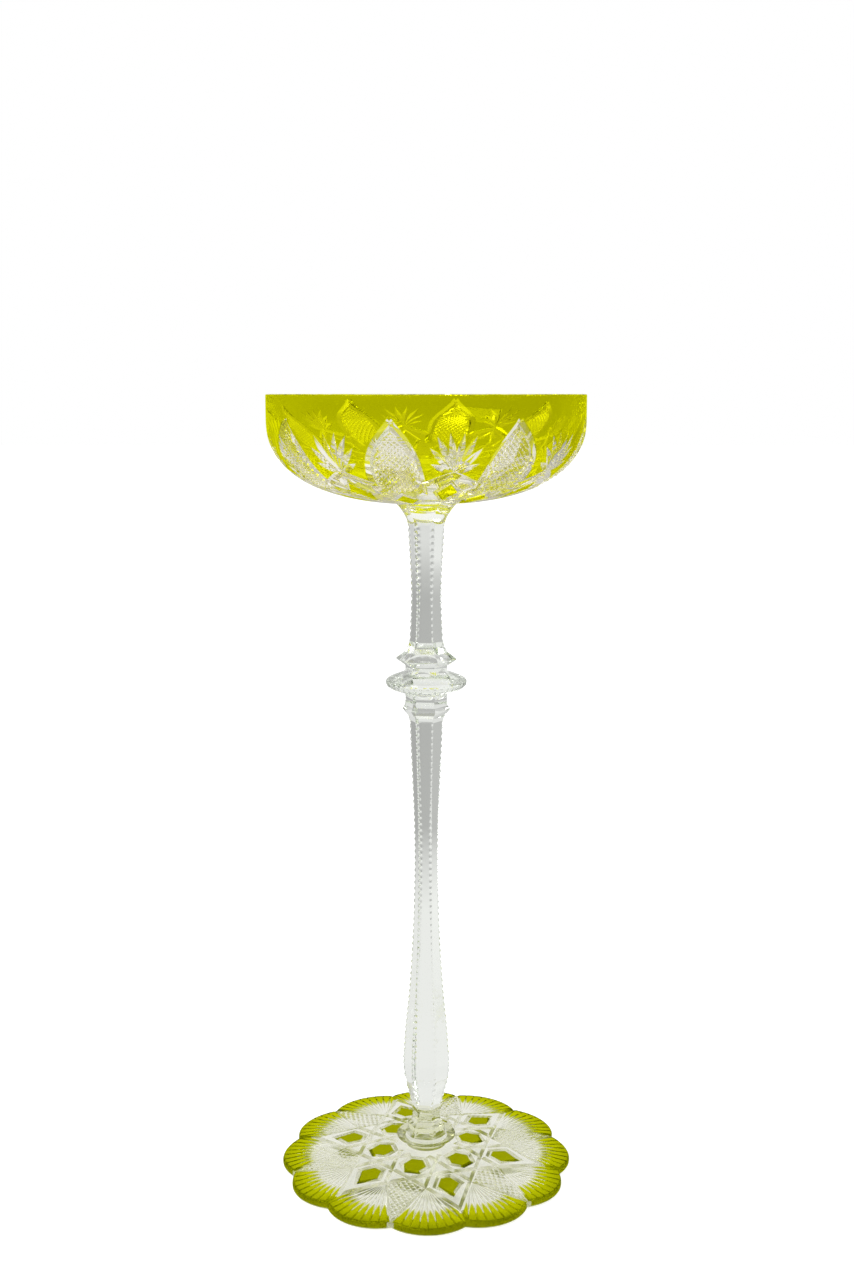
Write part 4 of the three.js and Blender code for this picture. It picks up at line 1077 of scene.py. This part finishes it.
def world():
    """White for the camera, and for the glass a bright backdrop with darker sides and front."""
    scene_world = bpy.data.worlds.new("studio")
    bpy.context.scene.world = scene_world
    scene_world.use_nodes = True
    nodes, links = scene_world.node_tree.nodes, scene_world.node_tree.links
    nodes.clear()
    place = nodes.new("ShaderNodeTexCoord")
    axes = nodes.new("ShaderNodeSeparateXYZ")
    wall = map_range(nodes, *WALL_FADE, "SMOOTHSTEP")
    ceiling = map_range(nodes, *CEILING_FADE, "SMOOTHSTEP")
    brighter = nodes.new("ShaderNodeMath")
    brighter.operation = "MAXIMUM"
    path = nodes.new("ShaderNodeLightPath")
    seen = nodes.new("ShaderNodeMath")
    seen.operation = "MAXIMUM"
    background = nodes.new("ShaderNodeBackground")
    background.inputs["Color"].default_value = WHITE
    output = nodes.new("ShaderNodeOutputWorld")
    links.new(place.outputs["Generated"], axes.inputs["Vector"])
    links.new(axes.outputs["Y"], wall.inputs["Value"])
    links.new(axes.outputs["Z"], ceiling.inputs["Value"])
    links.new(wall.outputs["Result"], brighter.inputs[0])
    links.new(ceiling.outputs["Result"], brighter.inputs[1])
    links.new(brighter.outputs["Value"], seen.inputs[0])
    links.new(path.outputs["Is Camera Ray"], seen.inputs[1])
    links.new(seen.outputs["Value"], background.inputs["Strength"])
    links.new(background.outputs["Background"], output.inputs["Surface"])


def softbox():
    """A soft lamp in front of the coupe, from the upper left."""
    light = bpy.data.lights.new("softbox", "AREA")
    light.shape = "RECTANGLE"
    light.size, light.size_y = SOFTBOX_SIZE
    light.energy = SOFTBOX_POWER
    lamp = bpy.data.objects.new("softbox", light)
    lamp.location = SOFTBOX_PLACE
    lamp.rotation_euler = (math.radians(SOFTBOX_TILT), 0, math.radians(SOFTBOX_TURN))
    bpy.context.scene.collection.objects.link(lamp)


def camera():
    """The photo's view: level with the rim, and tilted down."""
    lens = bpy.data.cameras.new("camera")
    lens.sensor_fit = "VERTICAL"
    lens.sensor_height = SENSOR_HEIGHT
    lens.lens = CAMERA_LENS
    lens.clip_start = CLIP_START * MM
    view = bpy.data.objects.new("camera", lens)
    view.location = [value * MM for value in CAMERA_PLACE]
    view.rotation_euler = (math.radians(90 - CAMERA_DOWN), 0, 0)
    bpy.context.scene.collection.objects.link(view)
    bpy.context.scene.camera = view


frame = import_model()
NODES = list(frame["nodes"])
RIM_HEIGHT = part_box("bowl_crystal")[1].z / MM

scene = bpy.context.scene
scene.view_settings.view_transform = "Standard"
scene.cycles.max_bounces = LIGHT_BOUNCES
scene.cycles.transmission_bounces = LIGHT_BOUNCES
scene.cycles.glossy_bounces = GLOSSY_BOUNCES
scene.cycles.transparent_max_bounces = LIGHT_BOUNCES

camera()
world()
softbox()
stage()
crystal = crystal_material("crystal", CRYSTAL_COLOUR)
# Painted shade and casing tint on the button and the stub
shaded_button_crystal = crystal_material("shaded_button_crystal", BUTTON_SHADED_COLOUR)
joint = joint_material()
cased_foot = cased_material("cased_foot", FOOT_SHADE_COLOUR, FOOT_CASING_AND_SHADE_COLOUR, FOOT_CLEAR_COLOUR)
cased_bowl = cased_material("cased_bowl", BOWL_SHADE_COLOUR, BOWL_CASING_COLOUR, BOWL_CLEAR_COLOUR)
foot([cased_foot, joint, ground_material()])
foot_button([shaded_button_crystal, joint])
foot_stub([shaded_button_crystal, joint])
notched_stem("lower_stem", LOWER_STEM, [crystal, joint])
lower_ring([crystal, joint])
knop_disc([crystal, joint])
upper_ring([crystal, joint])
notched_stem("upper_stem", UPPER_STEM, [crystal, joint])
bowl_collar([crystal, joint])
bowl([cased_bowl, joint])
